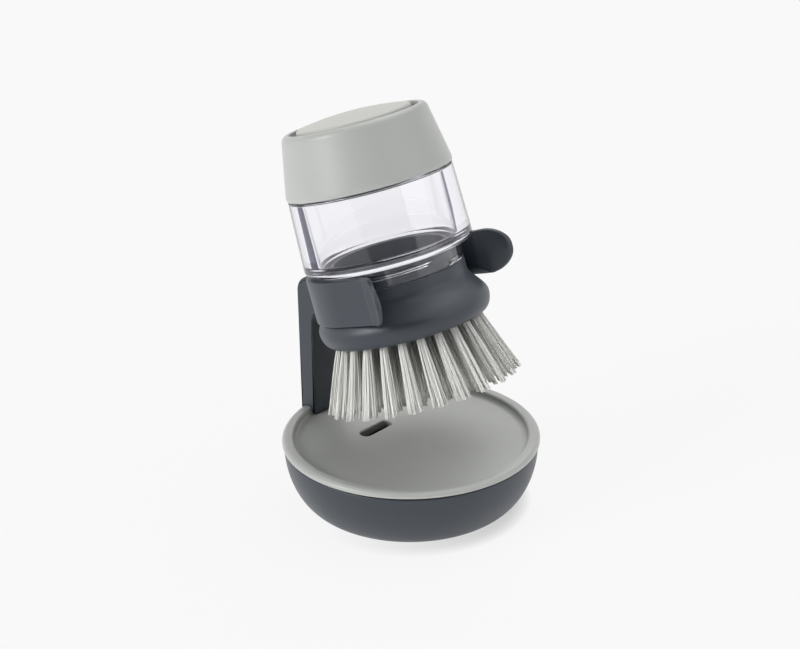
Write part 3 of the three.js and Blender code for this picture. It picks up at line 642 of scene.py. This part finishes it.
def makeClip():
    # band section carried along a C, between an inner and an outer line, with rounded edges
    half, middle = (clip["top"] - clip["bottom"]) / 2, (clip["top"] + clip["bottom"]) / 2
    lipFrom = clip["lipEnd"] - half
    foldFrom, foldSteps = clip["foldRun"]
    lipX = lipFrom + half * np.sin(np.linspace(0, math.pi / 2, clip["lipSteps"] + 1)[1:])
    armX = np.concatenate([np.linspace(*clip["armRun"]), np.linspace(foldFrom, lipFrom, foldSteps), lipX])
    # past the fold: arm + flare * d + curl * d^2, with d eased from nothing over the fold's round
    past = armX - clip["foldAt"]
    past = (past + np.sqrt(past**2 + clip["foldRound"] ** 2)) / 2
    flat = clip["outer"] + (clip["arm"] - clip["outer"]) * np.clip(armX / clip["armEnd"], 0, 1)
    armY = flat + clip["flare"] * past + clip["curl"] * past**2
    thin = smoothStep(*clip["thinBetween"], armX)
    innerY = clip["inner"] * (1 - thin) + (armY - clip["lipThickness"]) * thin
    lines = []
    for radius, y in ((clip["outer"], armY), (clip["inner"], innerY)):
        line = np.concatenate([arcPoints((0, 0), (radius, radius), 180, 90, 33), np.stack([armX, y], 1)])
        lines.append(np.concatenate([(line * (1, -1))[:0:-1], line]))
    outer, inner = lines

    x = inner[:, 0]
    roundTall = np.sqrt(np.clip(half**2 - (x - lipFrom) ** 2, 1e-4, None))
    tall = np.where(x > lipFrom, roundTall, half)[:, None]
    thick = np.linalg.norm(outer - inner, axis=1)[:, None]
    outward = (outer - inner) / thick
    # the lip thins to nothing over its last stretch, so that its rim is round
    last = np.clip((clip["lipEnd"] - x) / clip["rimReach"], clip["thinnest"], 1)[:, None]
    shrink = np.sqrt(1 - (1 - last) ** 2)

    turn = np.radians(np.linspace(0, 90, 7))
    between = np.linspace(0, 1, 24)[1:-1]
    size = np.minimum(clip["edge"], tall * clip["edgeOfTall"])
    rise = size * (1 - np.cos(turn))
    run = (size - tall) + 2 * (tall - size) * between
    height = np.concatenate([rise - tall, run, tall - rise[:, ::-1]], 1)
    bend = 1 - np.sin(turn)
    cut = np.concatenate([bend, 0 * between, bend[::-1]])
    fromAxis = np.where(x < 0, np.linalg.norm(inner, axis=1), np.abs(inner[:, 1]))[:, None]
    room = np.clip(headRadius(middle + height) + clip["gap"] - fromAxis, 0, None)
    # both faces of the lip swell a little in the middle
    onLip = smoothStep(*clip["pillowFrom"], x)[:, None]
    swell = clip["pillow"] * onLip * np.clip(1 - (height / tall) ** 2, 0, 1) * shrink
    thinned = (thick - room) * (1 - shrink) / 2
    low, high = room + thinned - swell, thick - thinned + swell / 2
    inset = cut * np.minimum(size, (high - low) * clip["edgeOfThick"])
    outerSide, innerSide = high - inset, low + inset
    topRun = np.linspace(outerSide[:, -1], innerSide[:, -1], 5, axis=1)[:, 1:-1]
    lowRun = np.linspace(innerSide[:, 0], outerSide[:, 0], 5, axis=1)[:, 1:-1]
    across = np.concatenate([outerSide, topRun, innerSide[:, ::-1], lowRun], 1)
    topHeight, lowHeight = np.repeat(height[:, -1:], 3, 1), np.repeat(height[:, :1], 3, 1)
    upDown = np.concatenate([height, topHeight, height[:, ::-1], lowHeight], 1)
    place = inner[:, None] + outward[:, None] * across[..., None]
    grid = np.concatenate([place, (middle + upDown)[..., None]], -1)
    points, faces = cappedTube(grid, grid[0].mean(0), grid[-1].mean(0))
    pieceFrom("clip_band", leaned(points), faces, satinDark, "holder", "dark_plastic", ["post_with_clip"])


makePost()
makeClip()
print("holder: post and clip")


# head: threaded collar and soap well above, flared body, recess for the bristle plate below
def makeHead():
    flare = np.linspace(head["flareTop"], head["flareBottom"], 36)
    body = np.stack([headRadius(flare), flare], 1)
    flange = arcPoints((head["flange"] - head["flangeRound"], head["flareBottom"]),
                       (head["flangeRound"], head["flareBottom"] - head["bottom"]), -4, -90, 22)
    inside = rounded(head, "outlet recessTop fine", "outlet valveSeat fine",
                     "valveSeatRadius valveSeat crisp", "valveSeatRadius well soft",
                     "collarBore well wellRound", "collarBore collarTop mild", "sealBore collarTop mild",
                     "sealBore collarStep crisp", "collar collarStep soft", "collar wallTop 0")
    thread = wallRun(head["collar"], head["wallTop"] - lead, head["wallBottom"] + lead)
    outer = rounded(head, "collar wallBottom 0", "collar top soft", "neck top neckRound", "neck neckEnd 0")
    under = rounded(head, "recessRim bottom 0", "recess bottom soft", "recess recessTop fine",
                    "outletRim recessTop 0")
    profile = np.concatenate([braced(inside), thread, braced(outer), body, flange, braced(under)])
    brushPiece("head_body", profile, 192, satinDark, "head", "dark_plastic", ["brush_head"],
               ridge=threadRidge(head["collar"], head["threadStart"], 1))


# valve at the bottom of the well: flange, short skirt and a domed tip
valve = {"top": -41.65, "bottom": -43.05, "skirtTop": -44.95, "skirt": -45.05, "tip": -47.05,
         "outside": 4.9, "bore": 3.6, "flange": 9.4, "wall": 1.3}


def makeValve():
    deep, drop = valve["skirt"], valve["skirt"] - valve["tip"]
    outer = arcPoints((0, deep), (valve["outside"], drop), -90, 0, 14)
    inner = arcPoints((0, deep), (valve["bore"], drop - valve["wall"]), 0, -90, 12)
    rim = rounded(valve, "outside skirtTop 0", "outside bottom soft", "flange bottom eased",
                  "flange top eased", "bore top eased", "bore skirtTop 0")
    profile = np.concatenate([outer, braced(rim), inner])
    brushPiece("soap_valve_dome", profile, 72, siliconeMilky, "head", "silicone", ["soap_valve"])


# plain rings round the axis of the brush
retainer = {"inner": 5.2, "outer": 12.0, "bottom": -41.2, "top": -39.4, "edge": 0.45}
neckSeal = {"inner": 24.7, "outer": 26.3, "bottom": -30.7, "top": -29.2, "edge": 0.6}
capGasket = {"inner": 24.0, "outer": 26.9, "bottom": 8.8, "top": 9.9, "edge": 0.4}


def makeRing(name, ring, sides, *facts):
    # rounded rectangle carried round the axis
    profile = rounded(ring, "inner bottom edge", "outer bottom edge", "outer top edge", "inner top edge",
                      closed=True)
    brushPiece(name, braced(profile, True), sides, *facts)


makeHead()
makeValve()
makeRing("retainer_ring", retainer, 144, satinDark, "head", "dark_plastic", ["valve_retainer"])
makeRing("neck_seal_ring", neckSeal, 144, rubberDark, "seal", "soft_rubber", ["neck_seal"])
makeRing("cap_gasket_ring", capGasket, 144, rubberDark, "gasket", "soft_rubber", ["cap_gasket"])
print("head: body, valve, retainer and seals")

# bristles: tufts of bent filaments in four rows, on three slices of a dark plate
bristles = {"root": -58.8, "tip": -86.1, "fan": 0.34, "rows": (27.6, 22.15, 16.7, 11.25),
            "tufts": (24, 18, 13, 8), "filaments": 44, "radius": 0.2, "sides": 5, "rings": 7,
            "endRound": 0.06, "tuftRoot": 1.4, "tuftTip": 3.5, "goldenTurn": 2.399963, "clumps": 5,
            "clumpAt": 0.66, "clumpShift": 0.2, "pull": 0.5, "unevenEnd": 0.45, "bow": 0.25, "stray": 0.12,
            # painted shade at the filament roots, per row: how dark it starts, and over what share of the
            # length it fades out
            "paintedRootShade": (0.8, 0.40, 0.36, 0.33), "paintedShadeReach": (0.25, 0.9, 0.9, 0.9), "seed": 11}
plate = {"bottom": -59.8, "top": -55.1, "edge": 0.25}
slices = {"outer_bristles": {"rows": (0,), "inner": 25.025, "outer": 29.7},
          "middle_bristles": {"rows": (1,), "inner": 19.575, "outer": 24.725},
          "inner_bristles": {"rows": (2, 3), "inner": 8.675, "outer": 19.275}}


def filamentArrays(row, dice):
    # root and tip of every filament in a row: a sunflower spread inside each tuft, fanned out from the axis,
    # each tip drawn part of the way to the nearest of its tuft's clumps
    tufts, count, clumps = bristles["tufts"][row], bristles["filaments"], bristles["clumps"]
    turn = fullTurn * (np.arange(tufts) + 0.5) / tufts
    ownTurn = dice.uniform(0, fullTurn, (tufts, 1))
    order = np.arange(count)
    spread = np.sqrt((order + 0.5) / count)
    place = spread[None, :, None] * circlePoints(order * bristles["goldenTurn"] + ownTurn)
    shift = dice.uniform(-bristles["clumpShift"], bristles["clumpShift"], (tufts, clumps))
    clump = bristles["clumpAt"] * circlePoints(ownTurn + fullTurn * (np.arange(clumps) + shift) / clumps)
    nearest = np.linalg.norm(place[:, :, None] - clump[:, None], axis=-1).argmin(-1)
    tipPlace = place + bristles["pull"] * (np.take_along_axis(clump, nearest[..., None], 1) - place)
    out = np.stack([np.cos(turn), np.sin(turn), 0 * turn], 1)[:, None]
    side = np.stack([-np.sin(turn), np.cos(turn), 0 * turn], 1)[:, None]
    up = np.array([0, 0, 1.0])
    shape = (tufts, count, 1)
    rowOut = bristles["rows"][row]
    rootOut = rowOut + bristles["tuftRoot"] * place[..., :1]
    root = out * rootOut + side * bristles["tuftRoot"] * place[..., 1:] + up * bristles["root"]
    stray = dice.normal(0, bristles["stray"], (2, *shape))
    tipOut = rowOut * (1 + bristles["fan"]) + bristles["tuftTip"] * tipPlace[..., :1] + stray[0]
    tipSide = bristles["tuftTip"] * tipPlace[..., 1:] + stray[1]
    tipHeight = bristles["tip"] + dice.uniform(0, bristles["unevenEnd"], shape)
    tip = out * tipOut + side * tipSide + up * tipHeight
    return root.reshape(-1, 3), tip.reshape(-1, 3)


def makeFilaments(name, node, rows, dice):
    # tube round a bowed line: root + t * (tip - root) + bow * sin(pi t), with a ring of points at each t
    pairs = [filamentArrays(row, dice) for row in rows]
    root, tip = (np.concatenate([pair[k] for pair in pairs]) for k in range(2))
    total, sides, levels = len(root), bristles["sides"], bristles["rings"]
    t = np.linspace(0, 1, levels)
    bow = dice.normal(0, bristles["bow"], (total, 1, 3)) * np.array([1, 1, 0])
    line = root[:, None] + (tip - root)[:, None] * t[None, :, None] + bow * np.sin(np.pi * t)[None, :, None]
    turn = fullTurn * np.arange(sides) / sides
    ring = bristles["radius"] * np.stack([np.cos(turn), np.sin(turn), 0 * turn], 1)
    tubes = line[:, :, None] + ring[None, None]
    ends = line[:, -1] - np.array([0, 0, bristles["endRound"]])
    block = levels * sides + 1
    points = np.concatenate([tubes.reshape(total, -1, 3), ends[:, None]], 1).reshape(-1, 3)
    shift = (np.arange(total) * block)[:, None, None]
    tube = gridFaces(levels, sides, False, True)[None] + shift
    close = fanFaces(np.arange(sides) + (levels - 1) * sides, block - 1)[None] + shift
    faces = [tube.reshape(-1, 4), close.reshape(-1, 3)]
    piece = pieceFrom(name, leaned(points), faces, nylonFilament, "head", "bristle_nylon", [node])
    tone = np.repeat(dice.uniform(0, 1, total), block)
    along = np.concatenate([np.repeat(t, sides), [1.0]])
    # painted shade per point: darkest at the root, fading to none along the filament
    shade = []
    for row, pair in zip(rows, pairs):
        dark = bristles["paintedRootShade"][row]
        lit = dark + (1 - dark) * smoothStep(0, bristles["paintedShadeReach"][row], along)
        shade.append(np.tile(lit, len(pair[0])))
    for label, values in (("strandTone", tone), ("strandPaintedShade", np.concatenate(shade))):
        layer = piece.data.attributes.new(label, "FLOAT", "POINT")
        layer.data.foreach_set("value", values.astype(np.float32))


dice = np.random.default_rng(bristles["seed"])
for node, facts in slices.items():
    makeFilaments(node + "_filaments", node, facts["rows"], dice)
    makeRing(node + "_plate", {**plate, **facts}, 120, satinDark, "head", "dark_plastic", [node])
print("head: bristles")

# reservoir: thick clear wall, threaded neck below, threaded mouth above
reservoir = {"top": 33.3, "foot": 34.3, "bottom": -30.4, "edge": 0.25, "shoulder": 4.0, "cavity": 28.0,
             "cavityTop": -0.9, "coneTop": -0.5, "cavityBottom": -26.4, "cavityRound": 1.0, "neck": 28.5,
             "neckTop": -27.8, "neckBottom": -37.5, "neckBore": 26.6, "neckHigh": -29.0, "neckLow": -37.1,
             "mouth": 26.9, "mouthBore": 24.0, "mouthTop": 8.5, "mouthLow": 0.9, "mouthHigh": 8.0,
             "neckThread": -36.6, "mouthThread": 3.2}


def makeReservoir():
    # outside from halfway round the neck's lower edge up to the mouth, over its lip and down inside
    r = reservoir
    outside = rounded(r, "neckBore neckBottom soft", "neck neckBottom eased", "neck bottom mild",
                      "foot bottom shoulder", "top 0 edge", "mouth 0 soft", "mouth mouthLow 0",
                      closed=True, steps=10)[6:-1]
    mouthWall = wallRun(r["mouth"], r["mouthLow"] + lead, r["mouthHigh"] - lead)
    lip = rounded(r, "mouth mouthHigh 0", "mouth mouthTop eased", "mouthBore mouthTop eased",
                  "mouthBore coneTop soft", "cavity cavityTop full", "cavity cavityBottom cavityRound",
                  "neckBore neckTop full", "neckBore neckHigh 0", steps=8)
    neckWall = wallRun(r["neckBore"], r["neckHigh"] - lead, r["neckLow"])
    profile = np.concatenate([braced(outside), mouthWall, braced(lip), neckWall])
    outer = threadRidge(r["mouth"], r["mouthThread"], 1)
    inner = threadRidge(r["neckBore"], r["neckThread"], -1)
    brushPiece("reservoir_body", profile, 192, clearBody, "bottle", "clear_plastic", ["reservoir"],
               ridge=lambda angle, radius, z: outer(angle, radius, z) + inner(angle, radius, z))


makeReservoir()
print("bottle: reservoir")

# cap: liner with a deck and air hole, outer shell, button, spring, bellows and air valve
liner = {"bore": 28.1, "outer": 29.3, "bottom": 0.8, "deckBottom": 10.2, "deckTop": 12.0, "airHole": 1.7,
         "wallTop": 9.4, "wallBottom": 1.2, "threadStart": 1.7}
shell = {"seam": 0.5, "bottom": 33.6, "bore": 31.6, "beadTop": 2.3, "beadRound": 0.75, "beadBlend": 2.0,
         "top": 29.6, "height": 25.6, "crown": 3.0, "crownReach": 2.6, "lip": 26.1, "lipBottom": 20.6,
         "lipUnder": 28.1}
button = {"radius": 23.2, "edgeTop": 26.2, "crown": 2.2, "edge": 1.4, "bore": 21.4, "inside": 24.4,
          "insideTop": 25.5, "insideFlat": 18.0, "insideRound": 2.0, "boreTop": 23.0, "flange": 27.2,
          "flangeTop": 20.3, "flangeBottom": 18.8}


def makeLiner():
    wall = wallRun(liner["bore"], liner["wallTop"] - lead, liner["wallBottom"] + lead)
    rest = rounded(liner, "bore wallBottom 0", "bore bottom light", "outer bottom light",
                   "outer deckTop eased", "airHole deckTop soft", "airHole deckBottom soft",
                   "bore deckBottom full", "bore wallTop 0")
    profile = np.concatenate([wall, braced(rest)])
    brushPiece("cap_liner_deck", profile, 160, matteGrey, "cap", "light_plastic", ["cap_liner"],
               ridge=threadRidge(liner["bore"], liner["threadStart"], -1))


def makeShell():
    # bead at the bottom, straight taper, quarter-ellipse crown over to the lip, then down inside
    centre = shell["top"] - shell["crownReach"], shell["height"] - shell["crown"]
    crown = arcPoints(centre, (shell["crownReach"], shell["crown"]), 8, 90, 22)
    low = rounded(shell, "bore beadTop 0", "bore seam fine", "bottom seam beadRound",
                  "bottom beadTop beadBlend", (*crown[0], 0), steps=8)
    inside = rounded(shell, (*crown[-1], 0), "lip height full", "lip lipBottom soft",
                     "lipUnder lipBottom eased", "bore beadTop 0")
    profile = np.concatenate([braced(low), crown[1:], braced(inside)[1:-1]])
    brushPiece("cap_cover", profile, 192, matteGrey, "cap", "light_plastic", ["cap_shell"])


def makeButton():
    # low crown: edge height + crown * (1 - (radius / edge)^2), with a rounded edge and a flange under the lip
    b = button
    flat = b["radius"] - b["edge"]
    r = np.linspace(0, flat, 24)
    crown = np.stack([r, b["edgeTop"] + b["crown"] * (1 - (r / b["radius"]) ** 2)], 1)[::-1]
    edge = arcPoints((flat, crown[0, 1] - b["edge"]), (b["edge"], b["edge"]), 0, 84, 9)
    skirt = rounded(b, "0 insideTop 0", "insideFlat inside insideRound", "bore boreTop eased",
                    "bore flangeBottom soft", "flange flangeBottom soft", "flange flangeTop soft",
                    "radius flangeTop soft", (*edge[0], 0))
    profile = np.concatenate([braced(skirt)[:-1], edge, crown])
    brushPiece("press_button", profile, 192, buttonGrey, "press", "button_plastic", ["button"])


# return spring and bellows under the button
spring = {"radius": 9.0, "wire": 0.55, "curls": 5, "bottom": 12.85, "top": 23.55, "closeEnds": 0.10,
          "curlSteps": 48, "wireSides": 12}
bellows = {"radius": 17.0, "fold": 4.0, "folds": 3, "wall": 1.8, "bottom": 12.3, "top": 24.1}


def squashWithButton(piece):
    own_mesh(piece)


def makeSpring():
    # wire ring carried along a helix whose first and last curls lie closer together
    t = np.linspace(0, 1, spring["curlSteps"] * spring["curls"] + 1)
    rise = t - spring["closeEnds"] * np.sin(fullTurn * t) / fullTurn
    turn = fullTurn * spring["curls"] * t
    height = spring["bottom"] + (spring["top"] - spring["bottom"]) * rise
    line = np.stack([spring["radius"] * np.cos(turn), spring["radius"] * np.sin(turn), height], 1)
    out = np.stack([np.cos(turn), np.sin(turn), 0 * turn], 1)
    along = np.gradient(line, axis=0)
    along /= np.linalg.norm(along, axis=1)[:, None]
    up = np.cross(along, out)
    ringTurn = (fullTurn * np.arange(spring["wireSides"]) / spring["wireSides"])[None, :, None]
    grid = line[:, None] + spring["wire"] * (np.cos(ringTurn) * out[:, None] + np.sin(ringTurn) * up[:, None])
    points, faces = cappedTube(grid, line[0], line[-1])
    piece = pieceFrom("return_spring", leaned(points), faces, steelDrawn, "cap", "steel", ["button_spring"])
    squashWithButton(piece)


def makeBellows():
    # radius swings between the outer and inner fold along the height; the inner wall follows one wall in
    z = np.linspace(bellows["bottom"], bellows["top"], 90)
    share = (z - bellows["bottom"]) / (bellows["top"] - bellows["bottom"])
    swing = bellows["fold"] / 2
    outer = bellows["radius"] - swing + swing * np.cos(fullTurn * bellows["folds"] * share)
    profile = np.concatenate([np.stack([outer, z], 1), np.stack([outer - bellows["wall"], z], 1)[::-1]])
    piece = brushPiece("pump_bellows_folds", braced(profile, True), 120, siliconeMilky, "cap", "silicone",
                       ["pump_bellows"])
    squashWithButton(piece)


# air valve: mushroom flap under the deck, stem through the hole, barb above
airValve = {"flap": 4.0, "flapFlat": 2.4, "flapRound": 0.6, "flapBottom": 9.0, "flapEdge": 9.65,
            "flapTop": 9.9, "stem": 1.3, "barb": 2.2, "barbTip": 0.91, "barbBottom": 12.3, "barbTop": 14.0}


def makeAirValve():
    profile = rounded(airValve, "0 flapBottom 0", "flapFlat flapBottom flapRound", "flap flapEdge crisp",
                      "flap flapTop hair", "stem flapTop crisp", "stem barbBottom crisp",
                      "barb barbBottom fine", "barbTip barbTop eased", "0 barbTop 0")
    brushPiece("air_valve_flap", braced(profile, near=0.1), 64, siliconeMilky, "cap", "silicone",
               ["air_valve"])


makeLiner()
makeShell()
makeButton()
makeSpring()
makeBellows()
makeAirValve()
print("cap: shell, liner, button, spring, bellows and air valve")

# stage: a white floor; camera, gloss and glass see the plain background with a faint shadow and painted
# contact shadow
# the floor's painted contact shadow: how far it reaches, how deep it goes, and its fade to one side
stage = {"size": 6000.0, "sink": 0.2, "bounce": 0.7, "fill": 0.8, "shadow": 0.06, "paintedShadowReach": 0.007,
         "paintedShadowDepth": (0.3, 0.97, 0.62), "paintedShadowSide": (-0.035, 0.045, 42), "fillNear": 0.05,
         "fillDepth": (0.3, 1.0, 0.1), "white": 0.947, "world": 0.03, "sky": (0.95, 0.55)}
# soft lamps as suns: azimuth from -Y towards +X, as the camera counts it
lamps = {"left": {"azimuth": -21.0, "elevation": 27.0, "strength": 1.9, "spread": 30.0},
         "right": {"azimuth": 105.0, "elevation": 50.0, "strength": 1.1, "spread": 80.0},
         "back": {"azimuth": 210.0, "elevation": 59.0, "strength": 1.5, "spread": 50.0}}
lampLight = sum(lamp["strength"] * math.sin(math.radians(lamp["elevation"])) for lamp in lamps.values())
floorLight = stage["world"] + lampLight / math.pi


def bySight(nodes, links, given, seen, leave):
    # seen is for rays from the camera, off gloss and through glass, given for light that bounces
    path, first, second, mixer = (addNode(nodes, kind) for kind in ("LightPath", "Math", "Math", "MixShader"))
    first.operation = second.operation = "ADD"
    wire(links, (path, "Is Camera Ray", first, 0), (path, "Is Glossy Ray", first, 1), (first, 0, second, 0),
         (path, "Is Transmission Ray", second, 1), (second, 0, mixer, "Fac"), (given, 0, mixer, 1),
         (seen, 0, mixer, 2), (mixer, 0, leave, "Surface"))


def dimNear(nodes, links, emission, level, reach, depth):
    # the floor shines less close to the object: its bounce light as less of the room reaches it, its seen
    # glow as painted contact shadow
    shut, clear, least = depth
    near = addNode(nodes, "AmbientOcclusion", Distance=reach)
    dim = addNode(nodes, "MapRange", From_Min=shut, From_Max=clear, To_Min=least * level, To_Max=level)
    wire(links, (near, "AO", dim, "Value"), (dim, "Result", emission, "Strength"))
    return dim


def makeFloor():
    look, nodes, links, shader = newLook("floorWhite")
    nodes.remove(shader)
    bounce = addNode(nodes, "BsdfDiffuse", Color=grey(stage["bounce"]))
    shadow = addNode(nodes, "BsdfDiffuse", Color=grey(stage["shadow"]))
    fill, glow, given, seen = (addNode(nodes, kind) for kind in ("Emission",) * 2 + ("AddShader",) * 2)
    plain = stage["white"] - stage["shadow"] * floorLight
    dimNear(nodes, links, fill, stage["fill"], stage["fillNear"], stage["fillDepth"])
    # the glow that the camera sees darkens near the object: a painted contact shadow
    dim = dimNear(nodes, links, glow, plain, stage["paintedShadowReach"], stage["paintedShadowDepth"])
    # the painted contact shadow fades out toward the lit left side
    start, end, turn = stage["paintedShadowSide"]
    spot, parts = addNode(nodes, "TexCoord"), addNode(nodes, "SeparateXYZ")
    aside = addNode(nodes, "Mapping", Rotation=(0, 0, -math.radians(turn)))
    side = addNode(nodes, "MapRange", From_Min=start, From_Max=end, To_Min=plain,
                   To_Max=stage["paintedShadowDepth"][2] * plain)
    wire(links, (spot, "Object", aside, "Vector"), (aside, "Vector", parts, "Vector"),
         (parts, "X", side, "Value"), (side, "Result", dim, "To Min"), (bounce, 0, given, 0),
         (fill, 0, given, 1), (shadow, 0, seen, 0), (glow, 0, seen, 1))
    bySight(nodes, links, given, seen, nodes["Material Output"])
    t = np.linspace(-stage["size"] / 2, stage["size"] / 2, 3)
    x, y = np.meshgrid(t, t, indexing="ij")
    points = np.stack([x, y, 0 * x - stage["sink"]], -1).reshape(-1, 3)
    floor = inScene("floor", meshFrom("floor", points, gridFaces(3, 3, False, False).tolist(), look))


# dark cards out of the picture: two on the floor that the clear wall's edges bend the eye to, and one behind
# the camera that darkens what gloss shows of the front
cards = {"flagRight": {"corners": ((70, 730, 0.5), (400, 730, 0.5), (400, 1300, 0.5), (70, 1300, 0.5)),
                       "shade": (0.12, 0.12, 0.17, 1), "gloss": False, "glass": True},
         "flagLeft": {"corners": ((-340, -58, 0.5), (-140, -58, 0.5), (-140, 20, 0.5), (-340, 20, 0.5)),
                      "shade": (0.03, 0.035, 0.07, 1), "gloss": False, "glass": True},
         "cardFront": {"corners": ((300, -1500, 150), (1700, -200, 150), (1700, -200, 1800),
                                   (300, -1500, 1800)),
                       "shade": (0.02, 0.02, 0.022, 1), "gloss": True, "glass": False}}


def makeCards():
    for name, facts in cards.items():
        look = newLook(name, Base_Color=facts["shade"], Roughness=0.9)[0]
        card = inScene(name, meshFrom(name, facts["corners"], [[0, 1, 2, 3]], look))
        card.visible_camera = card.visible_diffuse = card.visible_shadow = False
        card.visible_glossy, card.visible_transmission = facts["gloss"], facts["glass"]


def makeLamps():
    for name, facts in lamps.items():
        lamp = bpy.data.lights.new(name, "SUN")
        lamp.energy, lamp.angle = facts["strength"], math.radians(facts["spread"])
        tilt, azimuth = math.radians(90 - facts["elevation"]), math.radians(facts["azimuth"])
        inScene(name, lamp).rotation_euler = (tilt, 0, azimuth)


def makeWorld():
    # even soft light; what the camera, gloss and glass see is white low down and greyer overhead
    world = bpy.data.worlds.new("studio")
    scene.world = world
    world.use_nodes = True
    nodes, links = world.node_tree.nodes, world.node_tree.links
    nodes.clear()
    place, parts, seen, leave = (addNode(nodes, kind) for kind in
                                 ("TexCoord", "SeparateXYZ", "Background", "OutputWorld"))
    ramp = rampNode(nodes, (0.25, grey(stage["sky"][0])), (0.75, grey(stage["sky"][1])))
    even = addNode(nodes, "Background", Strength=stage["world"], Color=grey(1))
    wire(links, (place, "Generated", parts, 0), (parts, "Z", ramp, "Fac"), (ramp, "Color", seen, "Color"))
    bySight(nodes, links, even, seen, leave)


# camera: direction, distance and framing of the photograph, for an image of 800 x 649
camera = {"azimuth": 42.1, "elevation": 24.0, "distance": 799.8, "focalPixels": 2011.8, "imageWidth": 800,
          "aside": -3.7, "height": 77.7, "roll": -1.0, "sensor": 36.0, "clip": (0.01, 20)}


def makeCamera():
    azimuth, elevation, roll = (math.radians(camera[k]) for k in ("azimuth", "elevation", "roll"))
    aim = Matrix.Translation((0, 0, camera["height"] * mm))
    view = Matrix.Rotation(azimuth, 4, "Z") @ Matrix.Rotation(math.pi / 2 - elevation, 4, "X")
    away = Matrix.Translation((camera["aside"] * mm, 0, camera["distance"] * mm))
    data = bpy.data.cameras.new("photoCamera")
    data.sensor_fit, data.sensor_width = "HORIZONTAL", camera["sensor"]
    data.lens = camera["sensor"] * camera["focalPixels"] / camera["imageWidth"]
    data.clip_start, data.clip_end = camera["clip"]
    scene.camera = inScene("photoCamera", data)
    scene.camera.matrix_world = aim @ view @ away @ Matrix.Rotation(roll, 4, "Z")


makeFloor()
makeCards()
makeLamps()
makeWorld()
makeCamera()
print("stage, lamps and camera")
